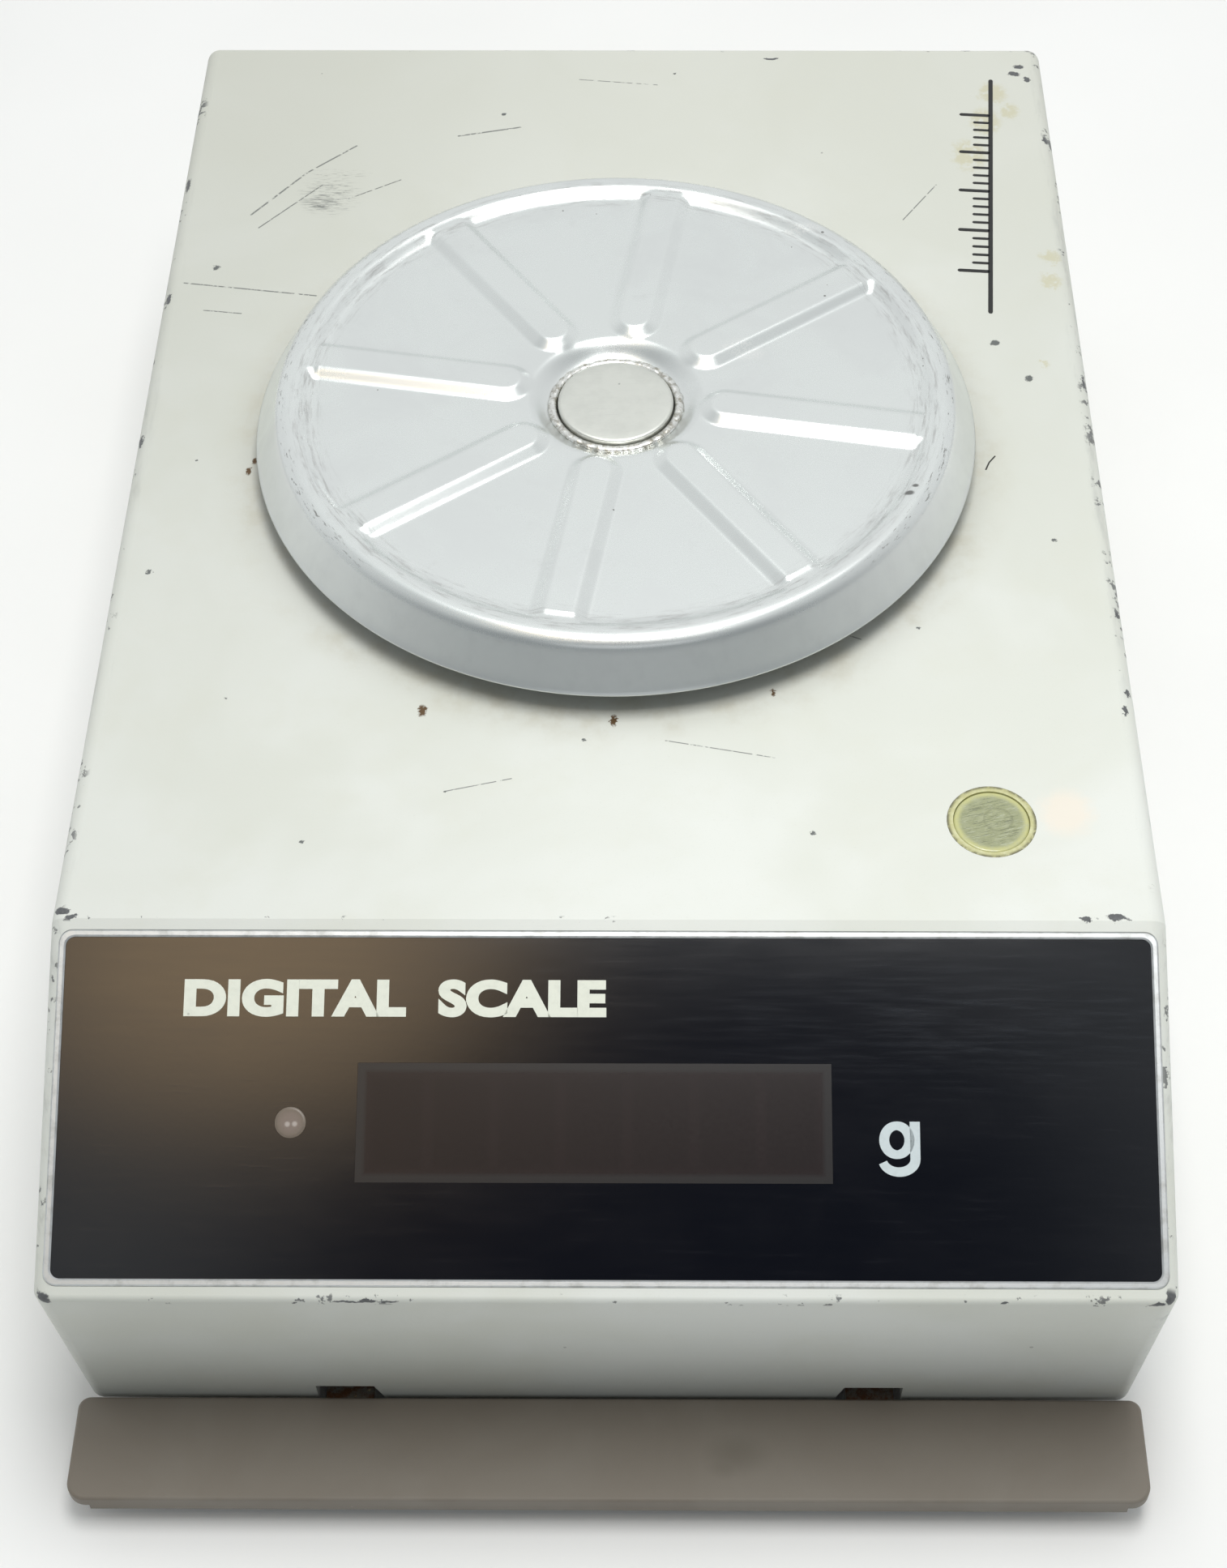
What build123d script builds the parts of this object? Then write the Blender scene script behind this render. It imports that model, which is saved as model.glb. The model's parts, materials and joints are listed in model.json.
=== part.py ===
from build123d import *
import math
import os

os.makedirs("parts", exist_ok=True)

# A bench balance reading in grams.  Millimetres.  +X to the user's right, +Y to
# the back, +Z up.  The origin is on the bench under the middle of the balance.

# ---- driving dimensions -------------------------------------------------
WIDTH = 195.0           # housing, across the top face
TOP_Z = 82.0            # flat top face above the bench
BACK_Y = 163.15         # outside of the back wall
CREASE_Y = -88.35       # top face meets the sloped display face
PANEL_Y = -147.75       # lower edge of the display face
PANEL_Z = 54.9
WALL_Z = 7.0            # lower edge of the housing walls
WALL_Y = -142.6         # foot of the undercut front wall
DRAFT = math.tan(math.radians(1.5))   # casting draft of the side walls
WALL_T = 3.0            # casting wall
EDGE_R = 3.0            # rounded outer edges
PLATE_Z = 7.2           # underside of the base plate
PLATE_T = 1.5
FLOOR_Z = PLATE_Z + PLATE_T           # top of the base plate, 8.7
PAN_Y = 30.05           # centre of the weighing pan
PAN_TOP = 96.7          # top of the pan's rolled rim
PAN_RIM_R = 66.7
SKIRT_R = 72.0
SKIRT_Z = 87.2
BAR_W = 193.8           # control bar
BAR_FRONT = -163.15
BAR_BACK = -143.4
BAR_TOP = 9.0
SHAFT_Y, SHAFT_Z = -60.0, 16.0        # pivot shaft of the control bar
ARM_X, ARM_W, ARM_T = 47.75, 8.7, 1.5
VIAL_X, VIAL_Y = 68.4, -66.6
GUIDE_Y = 86.2          # rear pivots of the two guides
BEAM_Y, BEAM_Z = 54.0, 47.0           # fulcrum of the lever beam
MAGNET_Y = 128.0
FOOT_X, FOOT_Y = 82.0, 142.0          # levelling feet
INLET_X, INLET_Z = -64.0, 34.0
FUSE_X, FUSE_Z = -36.0, 34.0

SLOPE = math.atan2(TOP_Z - PANEL_Z, CREASE_Y - PANEL_Y)
SLANT = math.hypot(TOP_Z - PANEL_Z, CREASE_Y - PANEL_Y)
# The display face's own plane: x across, y up the slope, z outwards.
FACE = Plane(origin=(0, CREASE_Y, TOP_Z), x_dir=(1, 0, 0),
             z_dir=(0, -math.sin(SLOPE), math.cos(SLOPE)))


def half_width(z, inset=0.0):
    """Half width of the drafted housing at height z."""
    return WIDTH / 2 - (TOP_Z - z) * DRAFT - inset


def face_outline(inset):
    """Corners of the slightly tapered display opening, inset from the trim's edge."""
    return [(-95.5 + inset, -1.95 - inset), (95.5 - inset, -1.95 - inset),
            (94.9 - inset, -63.0 + inset), (-94.9 + inset, -63.0 + inset)]


def inner_profile(t, roof):
    """Side profile of the cavity: wall t, roof thickness roof."""
    n = 4.6            # thickness of the sloped display wall
    y0 = CREASE_Y + n * math.sin(SLOPE)
    z0 = TOP_Z - n * math.cos(SLOPE)
    # where the inside of the sloped wall meets the level inside of the roof
    k = (TOP_Z - roof - z0) / math.sin(SLOPE)
    a = (y0 + k * math.cos(SLOPE), TOP_Z - roof)
    slope_w = (WALL_Y - PANEL_Y) / (PANEL_Z - WALL_Z)
    # inside of the front wall, then where it meets the inside of the slope
    yb = WALL_Y + t
    zb = 2.0
    yb0 = yb + slope_w * (WALL_Z - zb)
    # intersection of the two inner lines
    # slope line: (y0, z0) + s*(-cos, -sin); wall line: y = yb - slope_w*(z - WALL_Z)
    c, s_ = math.cos(SLOPE), math.sin(SLOPE)
    s = (y0 - yb + slope_w * (z0 - WALL_Z)) / (c + slope_w * s_)
    p = (y0 - s * c, z0 - s * s_)
    return [a, p, (yb0, zb), (BACK_Y - t, zb), (BACK_Y - t, TOP_Z - roof)]


# ---- housing --------------------------------------------------------------
with BuildPart() as cavity:
    with BuildSketch(Plane.YZ):
        with BuildLine():
            Polyline(*inner_profile(WALL_T, WALL_T), close=True)
        make_face()
    extrude(amount=WIDTH / 2, both=True)
    with BuildSketch(Plane.XZ.offset(-BACK_Y - 10)):
        with BuildLine():
            Polyline((-half_width(0, WALL_T), 0), (half_width(0, WALL_T), 0),
                     (half_width(TOP_Z, WALL_T), TOP_Z),
                     (-half_width(TOP_Z, WALL_T), TOP_Z), close=True)
        make_face()
    extrude(amount=2 * BACK_Y + 20, mode=Mode.INTERSECT)

with BuildPart() as top_housing:
    with BuildSketch(Plane.YZ):
        with BuildLine():
            Polyline((BACK_Y, TOP_Z), (CREASE_Y, TOP_Z), (PANEL_Y, PANEL_Z),
                     (WALL_Y, WALL_Z), (BACK_Y, WALL_Z), close=True)
        make_face()
    extrude(amount=WIDTH / 2, both=True)
    with BuildSketch(Plane.XZ.offset(-BACK_Y - 10)):
        with BuildLine():
            Polyline((-half_width(0), 0), (half_width(0), 0),
                     (half_width(TOP_Z), TOP_Z), (-half_width(TOP_Z), TOP_Z), close=True)
        make_face()
    extrude(amount=2 * BACK_Y + 20, mode=Mode.INTERSECT)
    lower = top_housing.edges().filter_by(lambda e: e.bounding_box().max.Z < WALL_Z + 0.01)
    crease = top_housing.edges().filter_by(Axis.X).filter_by(
        lambda e: abs(e.center().Y - CREASE_Y) < 0.1)
    lip = top_housing.edges().filter_by(Axis.X).filter_by(
        lambda e: abs(e.center().Y - PANEL_Y) < 0.1)
    outer = top_housing.edges() - lower - crease - lip
    fillet(outer, EDGE_R)
    lip = top_housing.edges().filter_by(Axis.X).filter_by(
        lambda e: abs(e.center().Y - PANEL_Y) < 0.1 and abs(e.center().Z - PANEL_Z) < 0.1)
    if lip:
        try:
            fillet(lip, 1.2)
        except Exception:
            print("lip edge left sharp")
    add(cavity.part, mode=Mode.SUBTRACT)
    # recess for the trim and the fascia, and the display opening behind them
    with BuildSketch(FACE.offset(-2.0)):
        with BuildLine():
            Polyline(*face_outline(0), close=True)
        make_face()
        fillet(vertices(), 2.4)
    extrude(amount=6, mode=Mode.SUBTRACT)
    with BuildSketch(FACE.offset(-8.0)):
        with Locations((-8.0, -35.3)):
            RectangleRounded(104, 30, 3)
    extrude(amount=8, mode=Mode.SUBTRACT)
    # collar round the pan stem
    with BuildSketch(Plane.XY.offset(TOP_Z - 0.5)):
        with Locations((0, PAN_Y)):
            Circle(14.5)
    extrude(amount=2.7)
    with Locations((0, PAN_Y, TOP_Z)):
        Cylinder(11.5, 20, mode=Mode.SUBTRACT)
    # seat for the bubble level
    with Locations((VIAL_X, VIAL_Y, TOP_Z)):
        Cylinder(8.05, 20, mode=Mode.SUBTRACT)
    # two notches in the lower edge of the front wall for the control bar's arms
    for side in (1, -1):
        with BuildSketch(Plane.XZ.offset(130)):
            with BuildLine():
                Polyline((side * 53.3, 5), (side * 53.3, 13.2), (side * 42.7, 13.2),
                         (side * 41.1, 7), (side * 41.1, 5), close=True)
            make_face()
        extrude(amount=25, mode=Mode.SUBTRACT)
    # rear openings: mains inlet and fuse holder
    with BuildSketch(Plane.XZ.offset(-BACK_Y - 5)):
        with Locations((INLET_X, INLET_Z)):
            RectangleRounded(31.2, 24.2, 2)
        with Locations((FUSE_X, FUSE_Z)):
            Circle(8.1)
    extrude(amount=12, mode=Mode.SUBTRACT)
    # corner posts that take the cover screws
    with BuildSketch(Plane.XY.offset(FLOOR_Z)):
        with Locations((89.5, 155.8), (-89.5, 155.8)):
            Circle(4.5)
    extrude(amount=79.6 - FLOOR_Z)
    with BuildSketch(Plane.XY.offset(FLOOR_Z)):
        with Locations((89.5, -112), (-89.5, -112)):
            Circle(4.5)
    extrude(amount=66.0 - FLOOR_Z)
    with Locations((89.5, 155.8, 14), (-89.5, 155.8, 14), (89.5, -112, 14), (-89.5, -112, 14)):
        Cylinder(1.5, 16, mode=Mode.SUBTRACT)
    # trim the posts flush with the outside of the casting
    with BuildSketch(Plane.XZ.offset(-BACK_Y - 10)):
        with BuildLine():
            Polyline((-half_width(0), 0), (half_width(0), 0), (half_width(TOP_Z), TOP_Z),
                     (half_width(TOP_Z), 100), (-half_width(TOP_Z), 100),
                     (-half_width(TOP_Z), TOP_Z), close=True)
        make_face()
    extrude(amount=2 * BACK_Y + 20, mode=Mode.INTERSECT)
    # four bosses behind the display face carry the display board
    with BuildSketch(FACE.offset(-4.0)):
        with Locations((-66, -16), (52, -16), (-66, -54), (52, -54)):
            Circle(3.0)
    extrude(amount=-8.0)
    with BuildSketch(FACE.offset(-12.0)):
        with Locations((-66, -16), (52, -16), (-66, -54), (52, -54)):
            Circle(1.25)
    extrude(amount=5.0, mode=Mode.SUBTRACT)
top_housing.part.label = "top_housing"
export_step(top_housing.part, "parts/top_housing.step")

# ---- display face ---------------------------------------------------------
with BuildPart() as fascia_trim:
    with BuildSketch(FACE.offset(-2.0)):
        with BuildLine():
            Polyline(*face_outline(0.04), close=True)
        make_face()
        fillet(vertices(), 2.36)
    extrude(amount=2.25)
    with BuildSketch(FACE.offset(-3.0)):
        with BuildLine():
            Polyline(*face_outline(1.3), close=True)
        make_face()
        fillet(vertices(), 1.6)
    extrude(amount=6, mode=Mode.SUBTRACT)
    rim = fascia_trim.faces().sort_by(Axis((0, 0, 0), FACE.z_dir))[-1]
    chamfer(rim.edges(), 0.3)
fascia_trim.part.label = "fascia_trim"
export_step(fascia_trim.part, "parts/fascia_trim.step")

with BuildPart() as fascia_panel:
    with BuildSketch(FACE.offset(-1.98)):
        with BuildLine():
            Polyline(*face_outline(1.36), close=True)
        make_face()
        fillet(vertices(), 1.55)
        with Locations((-2.15, -35.3)):
            Rectangle(81.3, 20.45, mode=Mode.SUBTRACT)
        with Locations((-54.05, -35.36)):
            Circle(2.7, mode=Mode.SUBTRACT)
    extrude(amount=1.9)
fascia_panel.part.label = "fascia_panel"
export_step(fascia_panel.part, "parts/fascia_panel.step")

with BuildPart() as display_filter:
    with BuildSketch(FACE.offset(-1.98)):
        with Locations((-2.15, -35.3)):
            Rectangle(81.26, 20.41)
    extrude(amount=1.86)
    with BuildSketch(FACE.offset(-3.4)):
        with Locations((-2.15, -35.3)):
            Rectangle(88, 26)
    extrude(amount=1.42)
display_filter.part.label = "display_filter"
export_step(display_filter.part, "parts/display_filter.step")

with BuildPart() as indicator_lens:
    with BuildSketch(FACE.offset(-3.6)):
        with Locations((-54.05, -35.36)):
            Circle(2.66)
    extrude(amount=3.5)
indicator_lens.part.label = "indicator_lens"
export_step(indicator_lens.part, "parts/indicator_lens.step")

with BuildPart() as display_board:
    with BuildSketch(FACE.offset(-13.65)):
        with Locations((-7, -35)):
            Rectangle(130, 46)
        with Locations((-66, -16), (52, -16), (-66, -54), (52, -54)):
            Circle(1.6, mode=Mode.SUBTRACT)
    extrude(amount=1.6)
display_board.part.label = "display_board"
export_step(display_board.part, "parts/display_board.step")

with BuildPart() as digit_modules:
    with BuildSketch(FACE.offset(-12.0)):
        with GridLocations(11.4, 1, 7, 1):
            with Locations((-2.15, -35.3)):
                Rectangle(11.0, 17.0)
    extrude(amount=7.5)
digit_modules.part.label = "digit_modules"
export_step(digit_modules.part, "parts/digit_modules.step")

with BuildPart() as indicator_lamp:
    with BuildSketch(FACE.offset(-12.0)):
        with Locations((-54.05, -35.36)):
            Circle(2.5)
    extrude(amount=7.6)
    fillet(indicator_lamp.edges().sort_by(Axis((0, 0, 0), FACE.z_dir))[-1], 2.0)
indicator_lamp.part.label = "indicator_lamp"
export_step(indicator_lamp.part, "parts/indicator_lamp.step")

with BuildPart() as display_screws:
    with BuildSketch(FACE.offset(-13.7)):
        with Locations((-66, -16), (52, -16), (-66, -54), (52, -54)):
            Circle(2.7)
    extrude(amount=-1.8)
    with BuildSketch(FACE.offset(-13.7)):
        with Locations((-66, -16), (52, -16), (-66, -54), (52, -54)):
            Circle(1.22)
    extrude(amount=6.0)
display_screws.part.label = "display_screws"
export_step(display_screws.part, "parts/display_screws.step")

# ---- bubble level ---------------------------------------------------------
with BuildPart() as level_cup:
    with BuildSketch(Plane.XY.offset(72.5)):
        with Locations((VIAL_X, VIAL_Y)):
            Circle(8.0)
    extrude(amount=TOP_Z - 72.5)
    with BuildSketch(Plane.XY.offset(74.0)):
        with Locations((VIAL_X, VIAL_Y)):
            Circle(6.9)
    extrude(amount=10, mode=Mode.SUBTRACT)
    with BuildSketch(Plane.XY.offset(75.5)):
        with Locations((VIAL_X, VIAL_Y)):
            Circle(10.5)
            Circle(7.9, mode=Mode.SUBTRACT)
    extrude(amount=3.4)
level_cup.part.label = "level_cup"
export_step(level_cup.part, "parts/level_cup.step")

with BuildPart() as level_vial:
    with BuildSketch(Plane.XY.offset(74.02)):
        with Locations((VIAL_X, VIAL_Y)):
            Circle(6.86)
    extrude(amount=7.9)
    fillet(level_vial.edges().group_by(Axis.Z)[-1], 0.5)
level_vial.part.label = "level_vial"
export_step(level_vial.part, "parts/level_vial.step")

# ---- base plate -----------------------------------------------------------
POSTS = [(89.5, 155.8), (-89.5, 155.8), (89.5, -112), (-89.5, -112)]
CELL_HOLES = [(-26, 24), (26, 24), (0, 92)]
BOARD_HOLES = [(42, -24), (84, -24), (42, 122), (84, 122)]
with BuildPart() as base_plate:
    with BuildSketch(Plane.XY.offset(PLATE_Z)):
        with BuildLine():
            Polyline((-92.0, -124), (92.0, -124), (92.0, 159.6), (-92.0, 159.6), close=True)
        make_face()
        fillet(vertices(), 4)
        with Locations(*POSTS):
            Circle(1.75, mode=Mode.SUBTRACT)
        with Locations(*CELL_HOLES):
            Circle(2.1, mode=Mode.SUBTRACT)
        with Locations((-FOOT_X, FOOT_Y), (FOOT_X, FOOT_Y)):
            Circle(4.2, mode=Mode.SUBTRACT)
        # ventilation slots under the transformer
        with Locations(*[(-60, 40 + 7 * i) for i in range(5)]):
            SlotOverall(34, 3, mode=Mode.SUBTRACT)
    extrude(amount=PLATE_T)
    # turned-up stiffening lip along the front edge
    with BuildSketch(Plane.XY.offset(PLATE_Z)):
        with Locations((0, -123.25)):
            Rectangle(70, 1.5)
    extrude(amount=6.0)
base_plate.part.label = "base_plate"
export_step(base_plate.part, "parts/base_plate.step")

with BuildPart() as cover_screws:
    with Locations(*[(x, y, PLATE_Z - 0.95) for x, y in POSTS]):
        Cylinder(3.0, 1.9)
    with Locations(*[(x, y, PLATE_Z + 6.5) for x, y in POSTS]):
        Cylinder(1.46, 13.2)
    with Locations(*[(x, y, PLATE_Z - 1.5) for x, y in POSTS]):
        Box(4.4, 0.8, 1.0, mode=Mode.SUBTRACT)
cover_screws.part.label = "cover_screws"
export_step(cover_screws.part, "parts/cover_screws.step")

with BuildPart() as front_feet:
    with BuildSketch(Plane.XY):
        with Locations((-78, -104), (78, -104)):
            Circle(8.0)
    extrude(amount=PLATE_Z, taper=-4)
    with BuildSketch(Plane.XY.offset(-0.1)):
        with Locations((-78, -104), (78, -104)):
            Circle(3.0)
    extrude(amount=2.1, mode=Mode.SUBTRACT)
front_feet.part.label = "front_feet"
export_step(front_feet.part, "parts/front_feet.step")

with BuildPart() as foot_bushes:
    with BuildSketch(Plane.XY.offset(FLOOR_Z)):
        with Locations((-FOOT_X, FOOT_Y), (FOOT_X, FOOT_Y)):
            RegularPolygon(6.0, 6)
    extrude(amount=8)
    with BuildSketch(Plane.XY.offset(PLATE_Z)):
        with Locations((-FOOT_X, FOOT_Y), (FOOT_X, FOOT_Y)):
            Circle(4.15)
    extrude(amount=2)
    with BuildSketch(Plane.XY.offset(PLATE_Z - 1)):
        with Locations((-FOOT_X, FOOT_Y), (FOOT_X, FOOT_Y)):
            Circle(3.07)
    extrude(amount=12, mode=Mode.SUBTRACT)
foot_bushes.part.label = "foot_bushes"
export_step(foot_bushes.part, "parts/foot_bushes.step")

with BuildPart() as level_screw_left:
    with BuildSketch(Plane.XY.offset(3.1)):
        with Locations((-FOOT_X, FOOT_Y)):
            Circle(9.0)
            with PolarLocations(9.2, 24):
                Circle(0.55, mode=Mode.SUBTRACT)
    extrude(amount=2.7)
    with Locations((-FOOT_X, FOOT_Y, 13.6)):
        Cylinder(3.0, 18)
level_screw_left.part.label = "level_screw_left"
export_step(level_screw_left.part, "parts/level_screw_left.step")

with BuildPart() as level_screw_right:
    with BuildSketch(Plane.XY.offset(3.1)):
        with Locations((FOOT_X, FOOT_Y)):
            Circle(9.0)
            with PolarLocations(9.2, 24):
                Circle(0.55, mode=Mode.SUBTRACT)
    extrude(amount=2.7)
    with Locations((FOOT_X, FOOT_Y, 13.6)):
        Cylinder(3.0, 18)
level_screw_right.part.label = "level_screw_right"
export_step(level_screw_right.part, "parts/level_screw_right.step")

with BuildPart() as level_pad_left:
    with Locations((-FOOT_X, FOOT_Y, 1.5)):
        Cylinder(7.5, 3.0)
    fillet(level_pad_left.edges().group_by(Axis.Z)[-1], 0.8)
level_pad_left.part.label = "level_pad_left"
export_step(level_pad_left.part, "parts/level_pad_left.step")

with BuildPart() as level_pad_right:
    with Locations((FOOT_X, FOOT_Y, 1.5)):
        Cylinder(7.5, 3.0)
    fillet(level_pad_right.edges().group_by(Axis.Z)[-1], 0.8)
level_pad_right.part.label = "level_pad_right"
export_step(level_pad_right.part, "parts/level_pad_right.step")

# ---- control bar ----------------------------------------------------------
with BuildPart() as control_bar:
    with BuildSketch(Plane.XY.offset(BAR_TOP - 2.5)):
        with BuildLine():
            Polyline((-BAR_W / 2, BAR_FRONT), (BAR_W / 2, BAR_FRONT),
                     (BAR_W / 2, BAR_BACK), (-BAR_W / 2, BAR_BACK), close=True)
        make_face()
        fillet(vertices().group_by(Axis.Y)[0], 3.5)
        fillet(vertices().group_by(Axis.Y)[-1], 2.2)
    extrude(amount=2.5)
    # turned-down front lip
    with BuildSketch(Plane.XY.offset(BAR_TOP - 4.6)):
        with Locations((0, BAR_FRONT + 1.3)):
            Rectangle(BAR_W - 8, 2.2)
    extrude(amount=3)
    fillet(control_bar.edges().group_by(Axis.Z)[-1], 0.6)
control_bar.part.label = "control_bar"
export_step(control_bar.part, "parts/control_bar.step")

with BuildPart() as bar_arms:
    for side in (1, -1):
        with BuildSketch(Plane.YZ.offset(side * ARM_X)):
            with BuildLine():
                Polyline((-159.5, 5.7), (-139.5, 5.7), (-130.5, 12.9), (-110.0, 14.6),
                         (-48.0, 16.0))
            trace(line_width=ARM_T)
        extrude(amount=ARM_W / 2, both=True)
    # eyes that clamp the shaft
    with BuildSketch(Plane.YZ.offset(ARM_X)):
        with Locations((SHAFT_Y, SHAFT_Z)):
            Circle(4.2)
    extrude(amount=ARM_W / 2, both=True)
    with BuildSketch(Plane.YZ.offset(-ARM_X)):
        with Locations((SHAFT_Y, SHAFT_Z)):
            Circle(4.2)
    extrude(amount=ARM_W / 2, both=True)
    with BuildSketch(Plane.YZ):
        with Locations((SHAFT_Y, SHAFT_Z)):
            Circle(2.52)
    extrude(amount=80, both=True, mode=Mode.SUBTRACT)
    with Locations((ARM_X, -149, 5.7), (ARM_X, -156, 5.7), (-ARM_X, -149, 5.7), (-ARM_X, -156, 5.7)):
        Cylinder(1.3, 6, mode=Mode.SUBTRACT)
bar_arms.part.label = "bar_arms"
export_step(bar_arms.part, "parts/bar_arms.step")

with BuildPart() as bar_screws:
    with Locations((ARM_X, -149, 4.3), (ARM_X, -156, 4.3), (-ARM_X, -149, 4.3), (-ARM_X, -156, 4.3)):
        Cylinder(2.3, 1.2)
    with Locations((ARM_X, -149, 5.7), (ARM_X, -156, 5.7), (-ARM_X, -149, 5.7), (-ARM_X, -156, 5.7)):
        Cylinder(1.25, 1.6)
bar_screws.part.label = "bar_screws"
export_step(bar_screws.part, "parts/bar_screws.step")

with BuildPart() as pivot_shaft:
    with BuildSketch(Plane.YZ):
        with Locations((SHAFT_Y, SHAFT_Z)):
            Circle(2.5)
    extrude(amount=68, both=True)
    chamfer(pivot_shaft.edges().filter_by(GeomType.CIRCLE), 0.5)
    for x in (65.6, -65.6):
        with BuildSketch(Plane.YZ.offset(x)):
            with Locations((SHAFT_Y, SHAFT_Z)):
                Circle(3.6)
        extrude(amount=0.4, both=True)
pivot_shaft.part.label = "pivot_shaft"
export_step(pivot_shaft.part, "parts/pivot_shaft.step")

with BuildPart() as shaft_brackets:
    for side in (1, -1):
        with BuildSketch(Plane.YZ.offset(side * 62)):
            with BuildLine():
                Polyline((-68, FLOOR_Z), (-52, FLOOR_Z), (-54.5, 20.0), (-65.5, 20.0), close=True)
            make_face()
            with Locations((SHAFT_Y, SHAFT_Z)):
                Circle(2.56, mode=Mode.SUBTRACT)
        extrude(amount=1.2, both=True)
        with BuildSketch(Plane.XY.offset(FLOOR_Z)):
            with Locations((side * 67.2, -60)):
                Rectangle(9, 16)
        extrude(amount=1.6)
shaft_brackets.part.label = "shaft_brackets"
export_step(shaft_brackets.part, "parts/shaft_brackets.step")

with BuildPart() as return_springs:
    for x in (36.5, -36.5):
        with BuildSketch(Plane.YZ.offset(x)):
            with Locations((SHAFT_Y, SHAFT_Z)):
                Circle(4.0)
                Circle(3.1, mode=Mode.SUBTRACT)
        extrude(amount=3.6, both=True)
        # the leg that rests on the base plate
        with BuildSketch(Plane.YZ.offset(x)):
            with BuildLine():
                Polyline((-60, 12.5), (-48, 9.2))
            trace(line_width=0.9)
        extrude(amount=0.45, both=True)
return_springs.part.label = "return_springs"
export_step(return_springs.part, "parts/return_springs.step")

with BuildPart() as bar_sensor:
    with Locations((-ARM_X, -44.0, FLOOR_Z + 7)):
        Box(16, 7, 14)
    with Locations((-ARM_X, -47.0, FLOOR_Z + 9)):
        Box(11, 6, 12, mode=Mode.SUBTRACT)
    with Locations((ARM_X, -44.0, FLOOR_Z + 7)):
        Box(16, 7, 14)
    with Locations((ARM_X, -47.0, FLOOR_Z + 9)):
        Box(11, 6, 12, mode=Mode.SUBTRACT)
bar_sensor.part.label = "bar_sensor"
export_step(bar_sensor.part, "parts/bar_sensor.step")

# ---- weighing cell --------------------------------------------------------
with BuildPart() as cell_frame:
    with BuildSketch(Plane.XY.offset(11.7)):
        with Locations((0, 82)):
            RectangleRounded(68, 144, 6)
        with Locations((-24, 60), (24, 60)):
            RectangleRounded(12, 40, 3, mode=Mode.SUBTRACT)
    extrude(amount=4)
    with BuildSketch(Plane.XY.offset(FLOOR_Z)):
        with Locations(*CELL_HOLES):
            Circle(6)
    extrude(amount=3.5)
    # rear upright with a window for the beam
    with BuildSketch(Plane.XZ.offset(-86.6)):
        with Locations((0, 40)):
            Rectangle(64, 52)
        with Locations((0, 47.5)):
            Rectangle(24, 17, mode=Mode.SUBTRACT)
    extrude(amount=-7.4)
    # two posts at the beam's fulcrum
    with Locations((12.5, BEAM_Y, 34.2), (-12.5, BEAM_Y, 34.2)):
        Box(7, 9, 37.4)
    with Locations(*[(x, y, 12) for x, y in CELL_HOLES]):
        Cylinder(1.7, 7, mode=Mode.SUBTRACT)
    with Locations((0, PAN_Y, 13)):
        Cylinder(2.5, 8, mode=Mode.SUBTRACT)
cell_frame.part.label = "cell_frame"
export_step(cell_frame.part, "parts/cell_frame.step")

with BuildPart() as cell_screws:
    with Locations(*[(x, y, PLATE_Z - 1.2) for x, y in CELL_HOLES]):
        Cylinder(3.6, 2.4)
    with Locations(*[(x, y, 11.1) for x, y in CELL_HOLES]):
        Cylinder(1.66, 7.8)
cell_screws.part.label = "cell_screws"
export_step(cell_screws.part, "parts/cell_screws.step")

with BuildPart() as overload_stop:
    with Locations((0, PAN_Y, 15.5)):
        Cylinder(2.46, 7.8)
overload_stop.part.label = "overload_stop"
export_step(overload_stop.part, "parts/overload_stop.step")

with BuildPart() as magnet_pot:
    with BuildSketch(Plane.XY.offset(15.7)):
        with Locations((0, MAGNET_Y)):
            Circle(25)
    extrude(amount=27.3)
    with BuildSketch(Plane.XY.offset(21.7)):
        with Locations((0, MAGNET_Y)):
            Circle(17.5)
    extrude(amount=30, mode=Mode.SUBTRACT)
magnet_pot.part.label = "magnet_pot"
export_step(magnet_pot.part, "parts/magnet_pot.step")

with BuildPart() as magnet_core:
    with BuildSketch(Plane.XY.offset(21.7)):
        with Locations((0, MAGNET_Y)):
            Circle(12.5)
    extrude(amount=18.3)
magnet_core.part.label = "magnet_core"
export_step(magnet_core.part, "parts/magnet_core.step")

with BuildPart() as position_sensor:
    with BuildSketch(Plane.YZ):
        with BuildLine():
            Polyline((155.6, FLOOR_Z), (159.2, FLOOR_Z), (159.2, 56), (150.0, 56), (150.0, 51.0),
                     (155.6, 51.0), close=True)
        make_face()
    extrude(amount=6, both=True)
position_sensor.part.label = "position_sensor"
export_step(position_sensor.part, "parts/position_sensor.step")

with BuildPart() as hanger:
    with Locations((0, PAN_Y, 42)):
        Box(26, 12, 44)
    with BuildSketch(Plane.XY.offset(56)):
        with Locations((0, PAN_Y)):
            Rectangle(43.2, 8)
    extrude(amount=8)
    with BuildSketch(Plane.XY.offset(20)):
        with Locations((0, PAN_Y)):
            Rectangle(43.2, 8)
    extrude(amount=8)
    # foot that carries the coupling strip
    with Locations((0, 39.0, 22)):
        Box(12, 10, 4)
    with BuildSketch(Plane.XY.offset(64)):
        with Locations((0, PAN_Y)):
            Circle(7)
    extrude(amount=22.0)
    with Locations((0, PAN_Y, 84)):
        Cylinder(4.3, 12, mode=Mode.SUBTRACT)
hanger.part.label = "hanger"
export_step(hanger.part, "parts/hanger.step")

with BuildPart() as coupling_strip:
    with Locations((0, 42.0, 33.8)):
        Box(6, 0.3, 19.6)
coupling_strip.part.label = "coupling_strip"
export_step(coupling_strip.part, "parts/coupling_strip.step")

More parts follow.
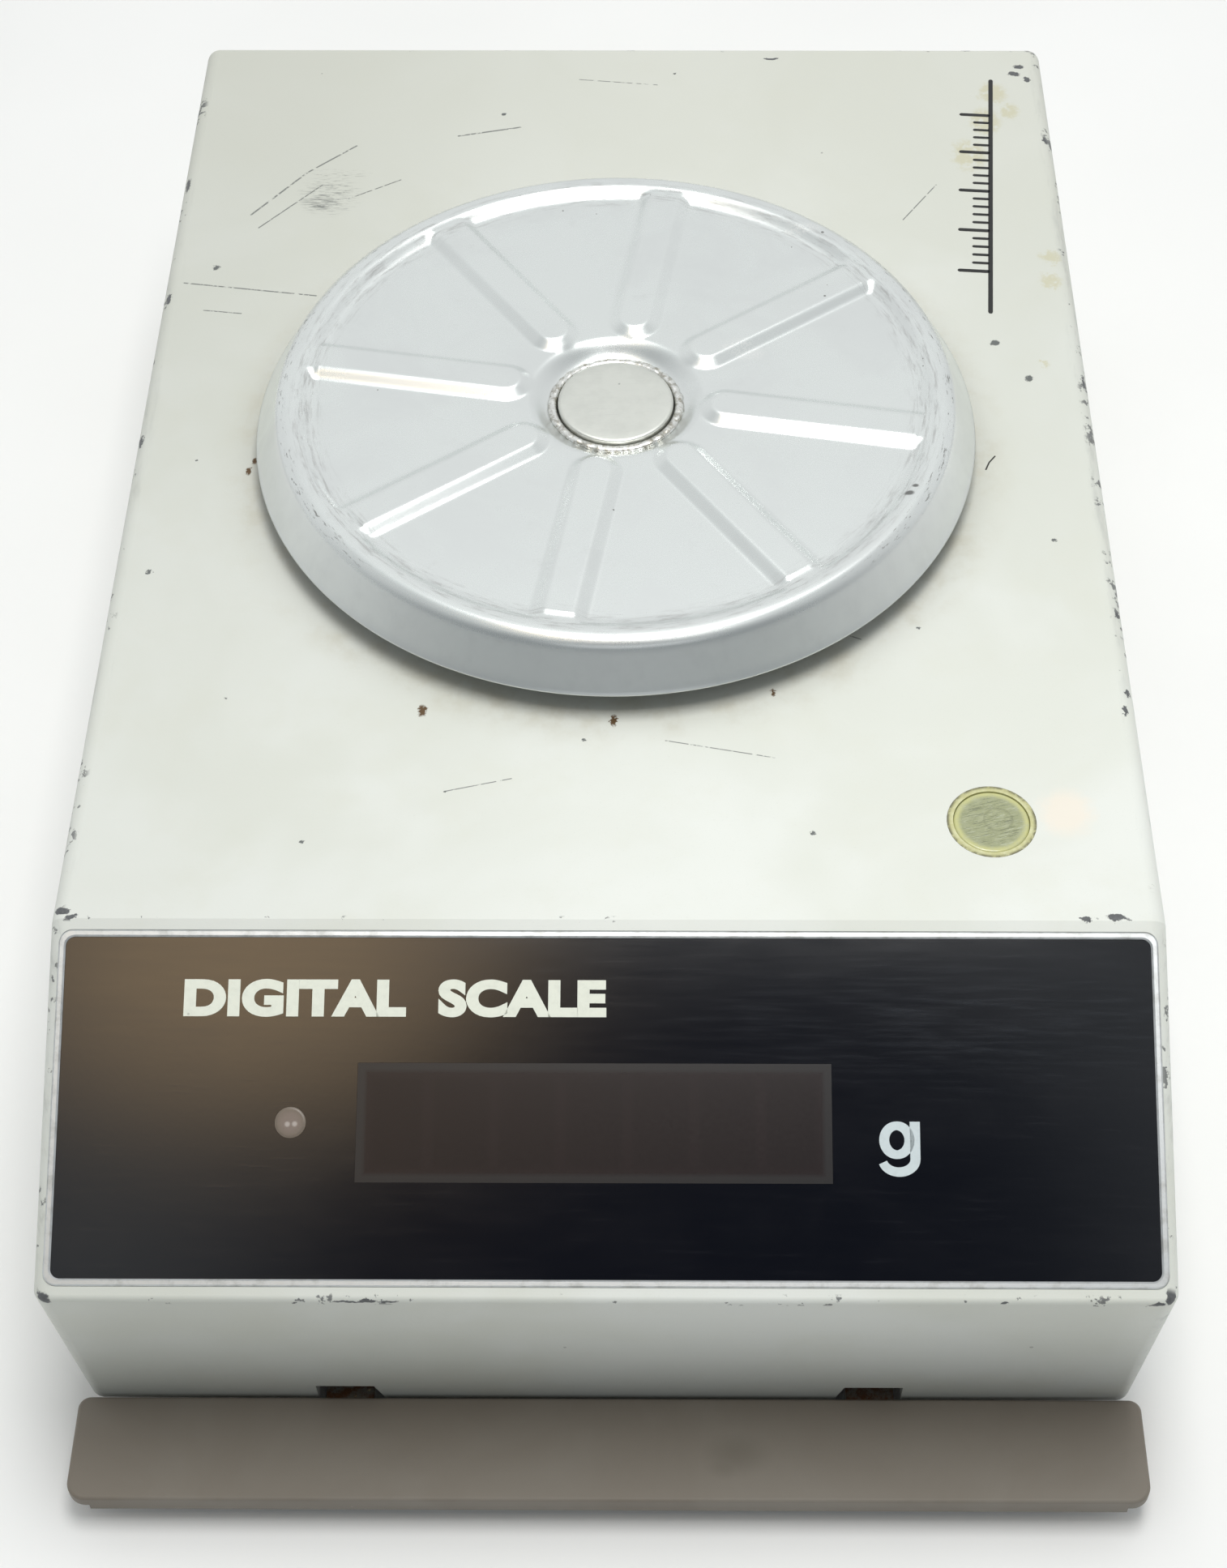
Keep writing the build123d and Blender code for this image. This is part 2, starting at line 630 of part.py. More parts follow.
with BuildPart() as pan_carrier:
    with BuildSketch(Plane.XY.offset(86.0)):
        with Locations((0, PAN_Y)):
            Circle(16)
            with PolarLocations(24, 4, start_angle=45):
                Rectangle(48, 12)
            with PolarLocations(46, 4, start_angle=45):
                Circle(8)
            Circle(4.3, mode=Mode.SUBTRACT)
    extrude(amount=3.0)
pan_carrier.part.label = "pan_carrier"
export_step(pan_carrier.part, "parts/pan_carrier.step")

with BuildPart() as carrier_pads:
    with BuildSketch(Plane.XY.offset(89.0)):
        with Locations((0, PAN_Y)):
            with PolarLocations(46, 4, start_angle=45):
                Circle(6)
    extrude(amount=4.7)
carrier_pads.part.label = "carrier_pads"
export_step(carrier_pads.part, "parts/carrier_pads.step")

with BuildPart() as upper_guide:
    with BuildSketch(Plane.XY.offset(58.75)):
        with Locations((25.0, 55.1), (-25.0, 55.1)):
            Rectangle(6, 62.2)
        with Locations((0, 82.7)):
            Rectangle(56, 7)
    extrude(amount=2.5)
upper_guide.part.label = "upper_guide"
export_step(upper_guide.part, "parts/upper_guide.step")

with BuildPart() as lower_guide:
    with BuildSketch(Plane.XY.offset(22.75)):
        with Locations((25.0, 55.1), (-25.0, 55.1)):
            Rectangle(6, 62.2)
        with Locations((0, 82.7)):
            Rectangle(56, 7)
    extrude(amount=2.5)
lower_guide.part.label = "lower_guide"
export_step(lower_guide.part, "parts/lower_guide.step")

with BuildPart() as beam:
    with BuildSketch(Plane.XY.offset(44.0)):
        with BuildLine():
            Polyline((-7, 38), (7, 38), (8.4, 60), (7, 112), (7, 148), (-7, 148), (-7, 112),
                     (-8.4, 60), close=True)
        make_face()
        with Locations((0, 84)):
            RectangleRounded(7, 36, 2.5, mode=Mode.SUBTRACT)
    extrude(amount=6)
    # light flag for the position sensor
    with Locations((0, 149.5, 47.5)):
        Box(8, 5, 1)
beam.part.label = "beam"
export_step(beam.part, "parts/beam.step")

with BuildPart() as coil:
    with BuildSketch(Plane.XY.offset(29.0)):
        with Locations((0, MAGNET_Y)):
            Circle(15.6)
            Circle(14.0, mode=Mode.SUBTRACT)
    extrude(amount=13)
    with BuildSketch(Plane.XY.offset(42.0)):
        with Locations((0, MAGNET_Y)):
            Circle(15.6)
    extrude(amount=2.0)
coil.part.label = "coil"
export_step(coil.part, "parts/coil.step")

# ---- weighing pan ---------------------------------------------------------
RIB_TURN = -9.4        # the pan stands turned a few degrees on its carrier
with BuildPart() as pan:
    # pressed dish: floor sunk round the hub, rolled rim, flared skirt
    with BuildSketch(Plane.XZ.offset(-PAN_Y)):
        with BuildLine():
            Polyline((0, 90.9), (14.2, 90.9), (18.0, 93.7), (61.8, 93.7), (63.8, 94.9), (65.4, 94.9),
                     (68.0, 92.0), (69.6, 89.9), (71.0, SKIRT_Z), (SKIRT_R, SKIRT_Z), (70.9, 90.6),
                     (69.3, 93.2), (67.2, 95.8), (65.5, PAN_TOP), (63.5, PAN_TOP), (62.9, 96.5),
                     (60.3, 95.0), (17.5, 95.0), (14.0, 92.2), (0, 92.2), close=True)
        make_face()
    revolve(axis=Axis((0, PAN_Y, 0), (0, 0, 1)))
    # eight raised ribs run from the rim almost to the hub
    with BuildSketch(Plane.XY.offset(94.3)):
        with Locations((0, PAN_Y)):
            with PolarLocations(0, 8, start_angle=90 + RIB_TURN):
                with Locations((40.2, 0)):
                    SlotOverall(44.6, 11.2)
    extrude(amount=2.2, taper=28)
    with Locations((0, PAN_Y, 93)):
        Cylinder(12.2, 10, mode=Mode.SUBTRACT)
pan.part.label = "pan"
export_step(pan.part, "parts/pan.step")

with BuildPart() as pan_ring:
    with BuildSketch(Plane.XZ.offset(-PAN_Y)):
        with BuildLine():
            Polyline((11.7, 90.3), (13.9, 90.3), (13.9, 90.86), (12.16, 90.86), (12.16, 92.25),
                     (13.1, 92.25), (13.1, 92.7), (12.6, 92.95), (11.7, 92.95), close=True)
        make_face()
    revolve(axis=Axis((0, PAN_Y, 0), (0, 0, 1)))
pan_ring.part.label = "pan_ring"
export_step(pan_ring.part, "parts/pan_ring.step")

with BuildPart() as pan_hub:
    with BuildSketch(Plane.XY.offset(90.4)):
        with Locations((0, PAN_Y)):
            Circle(11.5)
    extrude(amount=3.2)
    chamfer(pan_hub.edges().group_by(Axis.Z)[-1], 0.25)
    with BuildSketch(Plane.XY.offset(80.0)):
        with Locations((0, PAN_Y)):
            Circle(3.9)
    extrude(amount=12)
pan_hub.part.label = "pan_hub"
export_step(pan_hub.part, "parts/pan_hub.step")

# ---- electronics ----------------------------------------------------------
with BuildPart() as main_board:
    with BuildSketch(Plane.XY.offset(14.0)):
        with Locations((63, 49)):
            Rectangle(50, 158)
        with Locations(*BOARD_HOLES):
            Circle(1.6, mode=Mode.SUBTRACT)
    extrude(amount=1.6)
main_board.part.label = "main_board"
export_step(main_board.part, "parts/main_board.step")

with BuildPart() as board_screws:
    with Locations(*[(x, y, 11.35) for x, y in BOARD_HOLES]):
        Cylinder(3.0, 5.3)
    with Locations(*[(x, y, 14.8) for x, y in BOARD_HOLES]):
        Cylinder(1.5, 2.0)
    with Locations(*[(x, y, 16.4) for x, y in BOARD_HOLES]):
        Cylinder(2.7, 1.6)
board_screws.part.label = "board_screws"
export_step(board_screws.part, "parts/board_screws.step")

with BuildPart() as board_chips:
    with BuildSketch(Plane.XY.offset(15.6)):
        with GridLocations(18, 14, 2, 4):
            with Locations((62, 18)):
                Rectangle(7.4, 12)
        with Locations((64, 58)):
            Rectangle(32, 13.5)
        with Locations((64, 76)):
            Rectangle(30, 13.5)
    extrude(amount=3.6)
board_chips.part.label = "board_chips"
export_step(board_chips.part, "parts/board_chips.step")

with BuildPart() as filter_capacitors:
    with Locations((50, 96, 29.6), (72, 92, 29.6)):
        Cylinder(8.5, 28)
    with Locations((48, 114, 24.6)):
        Cylinder(5, 18)
    fillet(filter_capacitors.edges().group_by(Axis.Z)[-1], 0.8)
filter_capacitors.part.label = "filter_capacitors"
export_step(filter_capacitors.part, "parts/filter_capacitors.step")

with BuildPart() as heat_sink:
    with Locations((66, 109.5, 30.6)):
        Box(24, 3, 30)
    with BuildSketch(Plane.XY.offset(15.6)):
        with Locations(*[(55 + 4.4 * i, 115) for i in range(6)]):
            Rectangle(1.4, 10)
    extrude(amount=30)
heat_sink.part.label = "heat_sink"
export_step(heat_sink.part, "parts/heat_sink.step")

with BuildPart() as voltage_regulator:
    with Locations((63, 105.75, 33)):
        Box(10, 4.5, 9)
    with Locations((63, 107.4, 39.5)):
        Box(10, 1.2, 7)
    with Locations((60.5, 105.5, 22.3), (63, 105.5, 22.3), (65.5, 105.5, 22.3)):
        Box(0.8, 0.6, 13.2)
voltage_regulator.part.label = "voltage_regulator"
export_step(voltage_regulator.part, "parts/voltage_regulator.step")

with BuildPart() as board_connectors:
    with Locations((60, -20, 19.6)):
        Box(24, 8, 8)
    with Locations((42, 44, 18.6), (42, 64, 18.6)):
        Box(6, 14, 6)
board_connectors.part.label = "board_connectors"
export_step(board_connectors.part, "parts/board_connectors.step")

with BuildPart() as ribbon_cable:
    with BuildSketch(Plane.YZ.offset(52)):
        with BuildLine():
            FilletPolyline((-105.9, 57.6), (-103.4, 52.2), (-86, 42), (-60, 34), (-30, 30),
                           (-20, 28), (-20, 23.7), radius=2.4)
        trace(line_width=1.0)
    extrude(amount=8, both=True)
ribbon_cable.part.label = "ribbon_cable"
export_step(ribbon_cable.part, "parts/ribbon_cable.step")

# ---- transformer ----------------------------------------------------------
TX, TY, TZ = -60.5, 104.0, 30.6
with BuildPart() as transformer_core:
    with BuildSketch(Plane.XZ.offset(-(TY + 14))):
        with Locations((TX, TZ)):
            Rectangle(46, 42)
        with Locations((TX - 12.5, TZ), (TX + 12.5, TZ)):
            Rectangle(8, 26, mode=Mode.SUBTRACT)
    extrude(amount=28)
transformer_core.part.label = "transformer_core"
export_step(transformer_core.part, "parts/transformer_core.step")

with BuildPart() as transformer_winding:
    with Locations((TX, TY, TZ)):
        Box(32.8, 42, 25.8)
    fillet(transformer_winding.edges().filter_by(Axis.Z), 1.5)
    with Locations((TX, TY, TZ)):
        Box(17.1, 28.1, 25.8, mode=Mode.SUBTRACT)
transformer_winding.part.label = "transformer_winding"
export_step(transformer_winding.part, "parts/transformer_winding.step")

with BuildPart() as transformer_strap:
    with BuildSketch(Plane.XZ.offset(-(TY + 9))):
        with BuildLine():
            Polyline((TX - 30, FLOOR_Z), (TX - 23.05, FLOOR_Z), (TX - 23.05, TZ + 21.05),
                     (TX + 23.05, TZ + 21.05), (TX + 23.05, FLOOR_Z), (TX + 30, FLOOR_Z),
                     (TX + 30, FLOOR_Z + 1.2), (TX + 24.25, FLOOR_Z + 1.2),
                     (TX + 24.25, TZ + 22.25), (TX - 24.25, TZ + 22.25),
                     (TX - 24.25, FLOOR_Z + 1.2), (TX - 30, FLOOR_Z + 1.2), close=True)
        make_face()
    extrude(amount=18)
transformer_strap.part.label = "transformer_strap"
export_step(transformer_strap.part, "parts/transformer_strap.step")

# ---- mains inlet and fuse -------------------------------------------------
with BuildPart() as mains_inlet:
    with Locations((INLET_X, 159.05, INLET_Z)):
        Box(37, 2.0, 30)
    with BuildSketch(Plane.XZ.offset(-160.05)):
        with Locations((INLET_X, INLET_Z)):
            RectangleRounded(31, 24, 1.9)
    extrude(amount=-2.9)
    with Locations((INLET_X, 149.5, INLET_Z)):
        Box(28, 19, 21)
    # socket with two cut corners
    with BuildSketch(Plane.XZ.offset(-144.0)):
        with BuildLine():
            Polyline((INLET_X - 12.1, INLET_Z - 8.2), (INLET_X + 12.1, INLET_Z - 8.2),
                     (INLET_X + 12.1, INLET_Z + 3.6), (INLET_X + 7.6, INLET_Z + 8.2),
                     (INLET_X - 7.6, INLET_Z + 8.2), (INLET_X - 12.1, INLET_Z + 3.6), close=True)
        make_face()
    extrude(amount=-22, mode=Mode.SUBTRACT)
mains_inlet.part.label = "mains_inlet"
export_step(mains_inlet.part, "parts/mains_inlet.step")

with BuildPart() as inlet_pins:
    with Locations((INLET_X - 7, 149.0, INLET_Z - 2), (INLET_X, 149.0, INLET_Z + 2),
                   (INLET_X + 7, 149.0, INLET_Z - 2)):
        Box(2.0, 10.0, 4.0)
inlet_pins.part.label = "inlet_pins"
export_step(inlet_pins.part, "parts/inlet_pins.step")

with BuildPart() as fuse_holder:
    with BuildSketch(Plane.XZ.offset(-130.0)):
        with Locations((FUSE_X, FUSE_Z)):
            Circle(7.0)
    extrude(amount=-29.9)
    with BuildSketch(Plane.XZ.offset(-159.9)):
        with Locations((FUSE_X, FUSE_Z)):
            Circle(8.0)
    extrude(amount=-3.0)
    with BuildSketch(Plane.XZ.offset(-132.0)):
        with Locations((FUSE_X, FUSE_Z)):
            Circle(5.6)
    extrude(amount=-35, mode=Mode.SUBTRACT)
fuse_holder.part.label = "fuse_holder"
export_step(fuse_holder.part, "parts/fuse_holder.step")

with BuildPart() as fuse:
    with BuildSketch(Plane.XZ.offset(-136.0)):
        with Locations((FUSE_X, FUSE_Z)):
            Circle(2.5)
    extrude(amount=-20)
fuse.part.label = "fuse"
export_step(fuse.part, "parts/fuse.step")

with BuildPart() as fuse_cap:
    with BuildSketch(Plane.XZ.offset(-157.0)):
        with Locations((FUSE_X, FUSE_Z)):
            Circle(5.3)
    extrude(amount=-5.6)
    with Locations((FUSE_X, 162.6, FUSE_Z)):
        Box(9, 2.4, 1.4, mode=Mode.SUBTRACT)
fuse_cap.part.label = "fuse_cap"
export_step(fuse_cap.part, "parts/fuse_cap.step")
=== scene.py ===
import bpy
import json
import math
import random
from mathutils import Matrix, Vector


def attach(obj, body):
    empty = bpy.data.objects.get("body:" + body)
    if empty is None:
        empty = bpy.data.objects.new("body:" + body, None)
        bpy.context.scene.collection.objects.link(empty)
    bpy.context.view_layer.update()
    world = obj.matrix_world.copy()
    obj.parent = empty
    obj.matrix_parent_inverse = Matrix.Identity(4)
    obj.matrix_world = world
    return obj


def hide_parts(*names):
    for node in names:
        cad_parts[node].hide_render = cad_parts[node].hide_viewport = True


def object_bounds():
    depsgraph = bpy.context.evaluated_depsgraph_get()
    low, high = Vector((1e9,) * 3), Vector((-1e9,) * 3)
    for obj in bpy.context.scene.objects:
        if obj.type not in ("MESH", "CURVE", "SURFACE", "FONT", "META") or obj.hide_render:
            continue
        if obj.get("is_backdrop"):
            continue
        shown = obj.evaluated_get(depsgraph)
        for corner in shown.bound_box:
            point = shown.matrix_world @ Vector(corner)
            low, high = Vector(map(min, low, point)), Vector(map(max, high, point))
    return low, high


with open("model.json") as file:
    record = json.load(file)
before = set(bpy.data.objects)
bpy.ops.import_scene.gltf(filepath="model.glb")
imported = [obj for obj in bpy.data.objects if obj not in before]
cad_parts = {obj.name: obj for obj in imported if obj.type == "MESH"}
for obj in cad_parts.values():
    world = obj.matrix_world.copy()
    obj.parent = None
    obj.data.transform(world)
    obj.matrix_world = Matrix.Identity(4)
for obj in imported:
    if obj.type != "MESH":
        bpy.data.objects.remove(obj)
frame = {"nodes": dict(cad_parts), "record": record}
CAD_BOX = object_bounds()
NODES = frame["nodes"]
MM = 0.001
SLOT_OF = {s["node"]: s["material_slot"] for s in frame["record"]["subparts"]}

scene = bpy.context.scene
scene.view_settings.view_transform = "Standard"
scene.view_settings.look = "None"

# ---------------------------------------------------------------- geometry of the object, mm
TOP_Z, CREASE_Y, PANEL_Y, PANEL_Z = 82.0, -88.35, -147.75, 54.9
WALL_Y, WALL_Z, BACK_Y = -142.6, 7.0, 163.15
DRAFT = math.tan(math.radians(1.5))
SLOPE = math.atan2(TOP_Z - PANEL_Z, CREASE_Y - PANEL_Y)
PAN_Y, HUB_R = 30.05, 11.5
RIB_TURN = -9.4
VIAL_X, VIAL_Y = 68.4, -66.6
CS, SN = math.cos(SLOPE), math.sin(SLOPE)


def face(u, v, h=0.0):
    """Point on the sloped display face: u across, v down the slope, h outwards, in mm."""
    return Vector((u, CREASE_Y - v * CS - h * SN, TOP_Z - v * SN + h * CS))


# ---------------------------------------------------------------- camera
def make_camera():
    p, y, rl = math.radians(51.289), math.radians(-0.411), math.radians(-0.192)
    cp, sp = math.cos(p), math.sin(p)
    fwd = Vector((math.sin(y) * cp, math.cos(y) * cp, -sp))
    right = Vector((math.cos(y), -math.sin(y), 0.0))
    up = right.cross(fwd)
    c, s = math.cos(rl), math.sin(rl)
    right, up = c * right + s * up, -s * right + c * up
    cam = bpy.data.cameras.new("camera")
    cam.sensor_fit = "AUTO"
    cam.sensor_width = 36.0
    cam.lens = 59.75
    cam.shift_x, cam.shift_y = -0.0218, -0.0058
    cam.clip_start, cam.clip_end = 0.01, 50.0
    ob = bpy.data.objects.new("camera", cam)
    scene.collection.objects.link(ob)
    m = Matrix.Identity(4)
    for i in range(3):
        m[i][0], m[i][1], m[i][2] = right[i], up[i], -fwd[i]
    m[0][3], m[1][3], m[2][3] = 0.00886, -0.35188, 0.45109
    ob.matrix_world = m
    scene.camera = ob


make_camera()


# ---------------------------------------------------------------- node helper
class S:
    """A value or vector inside a shader graph, with arithmetic."""

    def __init__(self, g, sock):
        self.g, self.s = g, sock

    def __add__(self, o): return self.g.math("ADD", self, o)
    def __radd__(self, o): return self.g.math("ADD", o, self)
    def __sub__(self, o): return self.g.math("SUBTRACT", self, o)
    def __rsub__(self, o): return self.g.math("SUBTRACT", o, self)
    def __mul__(self, o): return self.g.math("MULTIPLY", self, o)
    def __rmul__(self, o): return self.g.math("MULTIPLY", o, self)
    def __truediv__(self, o): return self.g.math("DIVIDE", self, o)


class Graph:
    def __init__(self, tree):
        self.t = tree
        self.t.nodes.clear()

    def new(self, kind):
        return self.t.nodes.new(kind)

    def put(self, sock, v):
        if isinstance(v, S):
            self.t.links.new(v.s, sock)
        elif v is not None:
            sock.default_value = v

    def math(self, op, a, b=None, c=None, clamp=False):
        n = self.new("ShaderNodeMath")
        n.operation, n.use_clamp = op, clamp
        for i, v in enumerate((a, b, c)):
            self.put(n.inputs[i], v)
        return S(self, n.outputs[0])

    def vmath(self, op, a, b=None, scale=None):
        n = self.new("ShaderNodeVectorMath")
        n.operation = op
        self.put(n.inputs[0], a)
        self.put(n.inputs[1], b)
        if scale is not None:
            self.put(n.inputs["Scale"], scale)
        return S(self, n.outputs["Value" if op in ("DOT_PRODUCT", "LENGTH", "DISTANCE") else "Vector"])

    def min(self, a, b): return self.math("MINIMUM", a, b)
    def max(self, a, b): return self.math("MAXIMUM", a, b)
    def abs(self, a): return self.math("ABSOLUTE", a)
    def clamp(self, a): return self.math("ADD", a, 0.0, clamp=True)

    def ss(self, v, a, b):
        """Smooth 0 to 1 as v goes from a to b (a may be the larger)."""
        n = self.new("ShaderNodeMapRange")
        n.interpolation_type = "SMOOTHSTEP"
        self.put(n.inputs["Value"], v)
        if a <= b:
            f0, f1, t0, t1 = a, b, 0.0, 1.0
        else:
            f0, f1, t0, t1 = b, a, 1.0, 0.0
        n.inputs["From Min"].default_value, n.inputs["From Max"].default_value = f0, f1
        n.inputs["To Min"].default_value, n.inputs["To Max"].default_value = t0, t1
        return S(self, n.outputs["Result"])

    def coords(self, kind="Object"):
        n = self.new("ShaderNodeTexCoord")
        return S(self, n.outputs[kind])

    def mm(self):
        return self.vmath("SCALE", self.coords(), scale=1000.0)

    def xyz(self, v):
        n = self.new("ShaderNodeSeparateXYZ")
        self.put(n.inputs[0], v)
        return [S(self, n.outputs[i]) for i in range(3)]

    def vec(self, x, y, z):
        n = self.new("ShaderNodeCombineXYZ")
        for i, v in enumerate((x, y, z)):
            self.put(n.inputs[i], v)
        return S(self, n.outputs[0])

    def stretch(self, v, sx, sy, sz):
        return self.vmath("MULTIPLY", v, (sx, sy, sz))

    def noise(self, v, scale, detail=3.0, rough=0.55, dist=0.0):
        n = self.new("ShaderNodeTexNoise")
        self.put(n.inputs["Vector"], v)
        n.inputs["Scale"].default_value = scale
        n.inputs["Detail"].default_value = detail
        n.inputs["Roughness"].default_value = rough
        n.inputs["Distortion"].default_value = dist
        return S(self, n.outputs[0])

    def voro(self, v, scale, feature="F1", out="Distance", rnd=1.0):
        n = self.new("ShaderNodeTexVoronoi")
        n.feature = feature
        self.put(n.inputs["Vector"], v)
        n.inputs["Scale"].default_value = scale
        n.inputs["Randomness"].default_value = rnd
        return S(self, n.outputs[out])

    def specks(self, v, cell, size, share):
        """Sparse small spots: one per cell of that size in mm, on a share of the cells."""
        n = self.new("ShaderNodeTexVoronoi")
        self.put(n.inputs["Vector"], v)
        n.inputs["Scale"].default_value = 1.0 / cell
        r = self.new("ShaderNodeSeparateColor")
        self.t.links.new(n.outputs["Color"], r.inputs[0])
        keep = self.ss(S(self, r.outputs[0]), share, share - 0.001)
        rad = S(self, r.outputs[1]) * (0.75 * size / cell) + 0.25 * size / cell
        near = self.math("LESS_THAN", S(self, n.outputs["Distance"]), rad)
        return keep * near

    def ramp(self, f, stops):
        n = self.new("ShaderNodeValToRGB")
        self.put(n.inputs[0], f)
        e = n.color_ramp.elements
        while len(e) < len(stops):
            e.new(0.5)
        for i, (p, c) in enumerate(stops):
            e[i].position = p
            e[i].color = tuple(c) + (1.0,) if len(c) == 3 else c
        return S(self, n.outputs[0])

    def mix(self, f, a, b):
        n = self.new("ShaderNodeMix")
        n.data_type = "RGBA"
        self.put(n.inputs[0], f)
        for i, v in ((6, a), (7, b)):
            if isinstance(v, S):
                self.put(n.inputs[i], v)
            else:
                n.inputs[i].default_value = tuple(v) + (1.0,)
        return S(self, n.outputs[2])

    def seg(self, v, a, b, width, soft=None):
        """1 on the line from a to b (mm, x and y used), with this half width."""
        ax, ay = a
        bx, by = b
        pa = self.vmath("SUBTRACT", v, (ax, ay, 0.0))
        l2 = max((bx - ax) ** 2 + (by - ay) ** 2, 1e-6)
        h = self.math("MULTIPLY", self.vmath("DOT_PRODUCT", pa, (bx - ax, by - ay, 0.0)), 1.0 / l2, clamp=True)
        near = self.vmath("SCALE", (bx - ax, by - ay, 0.0), scale=h)
        d = self.vmath("LENGTH", self.vmath("SUBTRACT", pa, near))
        return self.ss(d, width + (soft if soft is not None else 0.12), width)

    def after(self, v, prev):
        """v again, but worked out only once prev is, which keeps long chains of masks small."""
        if prev is None:
            return v
        n = self.new("ShaderNodeVectorMath")
        n.operation = "MULTIPLY_ADD"
        self.put(n.inputs[0], prev)
        n.inputs[1].default_value = (1e-7, 1e-7, 1e-7)
        self.put(n.inputs[2], v)
        return S(self, n.outputs["Vector"])

    def spots(self, v, items, soft, prev=None):
        """Largest of several spots, each (centre, rx, ry)."""
        acc = prev
        first = True
        for c, rx, ry in items:
            s = self.spot(self.after(v, acc), c, rx, ry, soft)
            acc = s if first else self.max(acc, s)
            first = False
        return acc

    def segs(self, v, items, soft, prev=None):
        acc = prev
        first = True
        for a, b, w in items:
            s = self.seg(self.after(v, acc), a, b, w, soft)
            acc = s if first else self.max(acc, s)
            first = False
        return acc

    def spot(self, v, c, rx, ry, soft=0.3):
        d = self.vmath("LENGTH", self.vmath("MULTIPLY", self.vmath("SUBTRACT", v, (c[0], c[1], 0.0)), (1.0 / rx, 1.0 / ry, 0.0)))
        return self.ss(d, 1.0 + soft, 1.0 - soft)


def srgb(r, g, b):
    f = lambda c: (c / 255 / 12.92) if c / 255 <= 0.04045 else ((c / 255 + 0.055) / 1.055) ** 2.4
    return (f(r), f(g), f(b))


class Mat(Graph):
    def __init__(self, name):
        self.m = bpy.data.materials.new(name)
        self.m.use_nodes = True
        super().__init__(self.m.node_tree)
        self.out = self.new("ShaderNodeOutputMaterial")
        self.b = self.new("ShaderNodeBsdfPrincipled")
        self.t.links.new(self.b.outputs[0], self.out.inputs["Surface"])

    def set(self, **kw):
        for k, v in kw.items():
            sock = self.b.inputs[k.replace("_", " ")]
            if isinstance(v, S):
                self.t.links.new(v.s, sock)
            elif isinstance(v, tuple) and len(v) == 3:
                sock.default_value = v + (1.0,)
            else:
                sock.default_value = v
        return self

    def bump(self, height, strength, dist_mm):
        n = self.new("ShaderNodeBump")
        n.inputs["Strength"].default_value = strength
        n.inputs["Distance"].default_value = dist_mm * MM
        self.put(n.inputs["Height"], height)
        self.t.links.new(n.outputs[0], self.b.inputs["Normal"])
        return self


MATS = {}


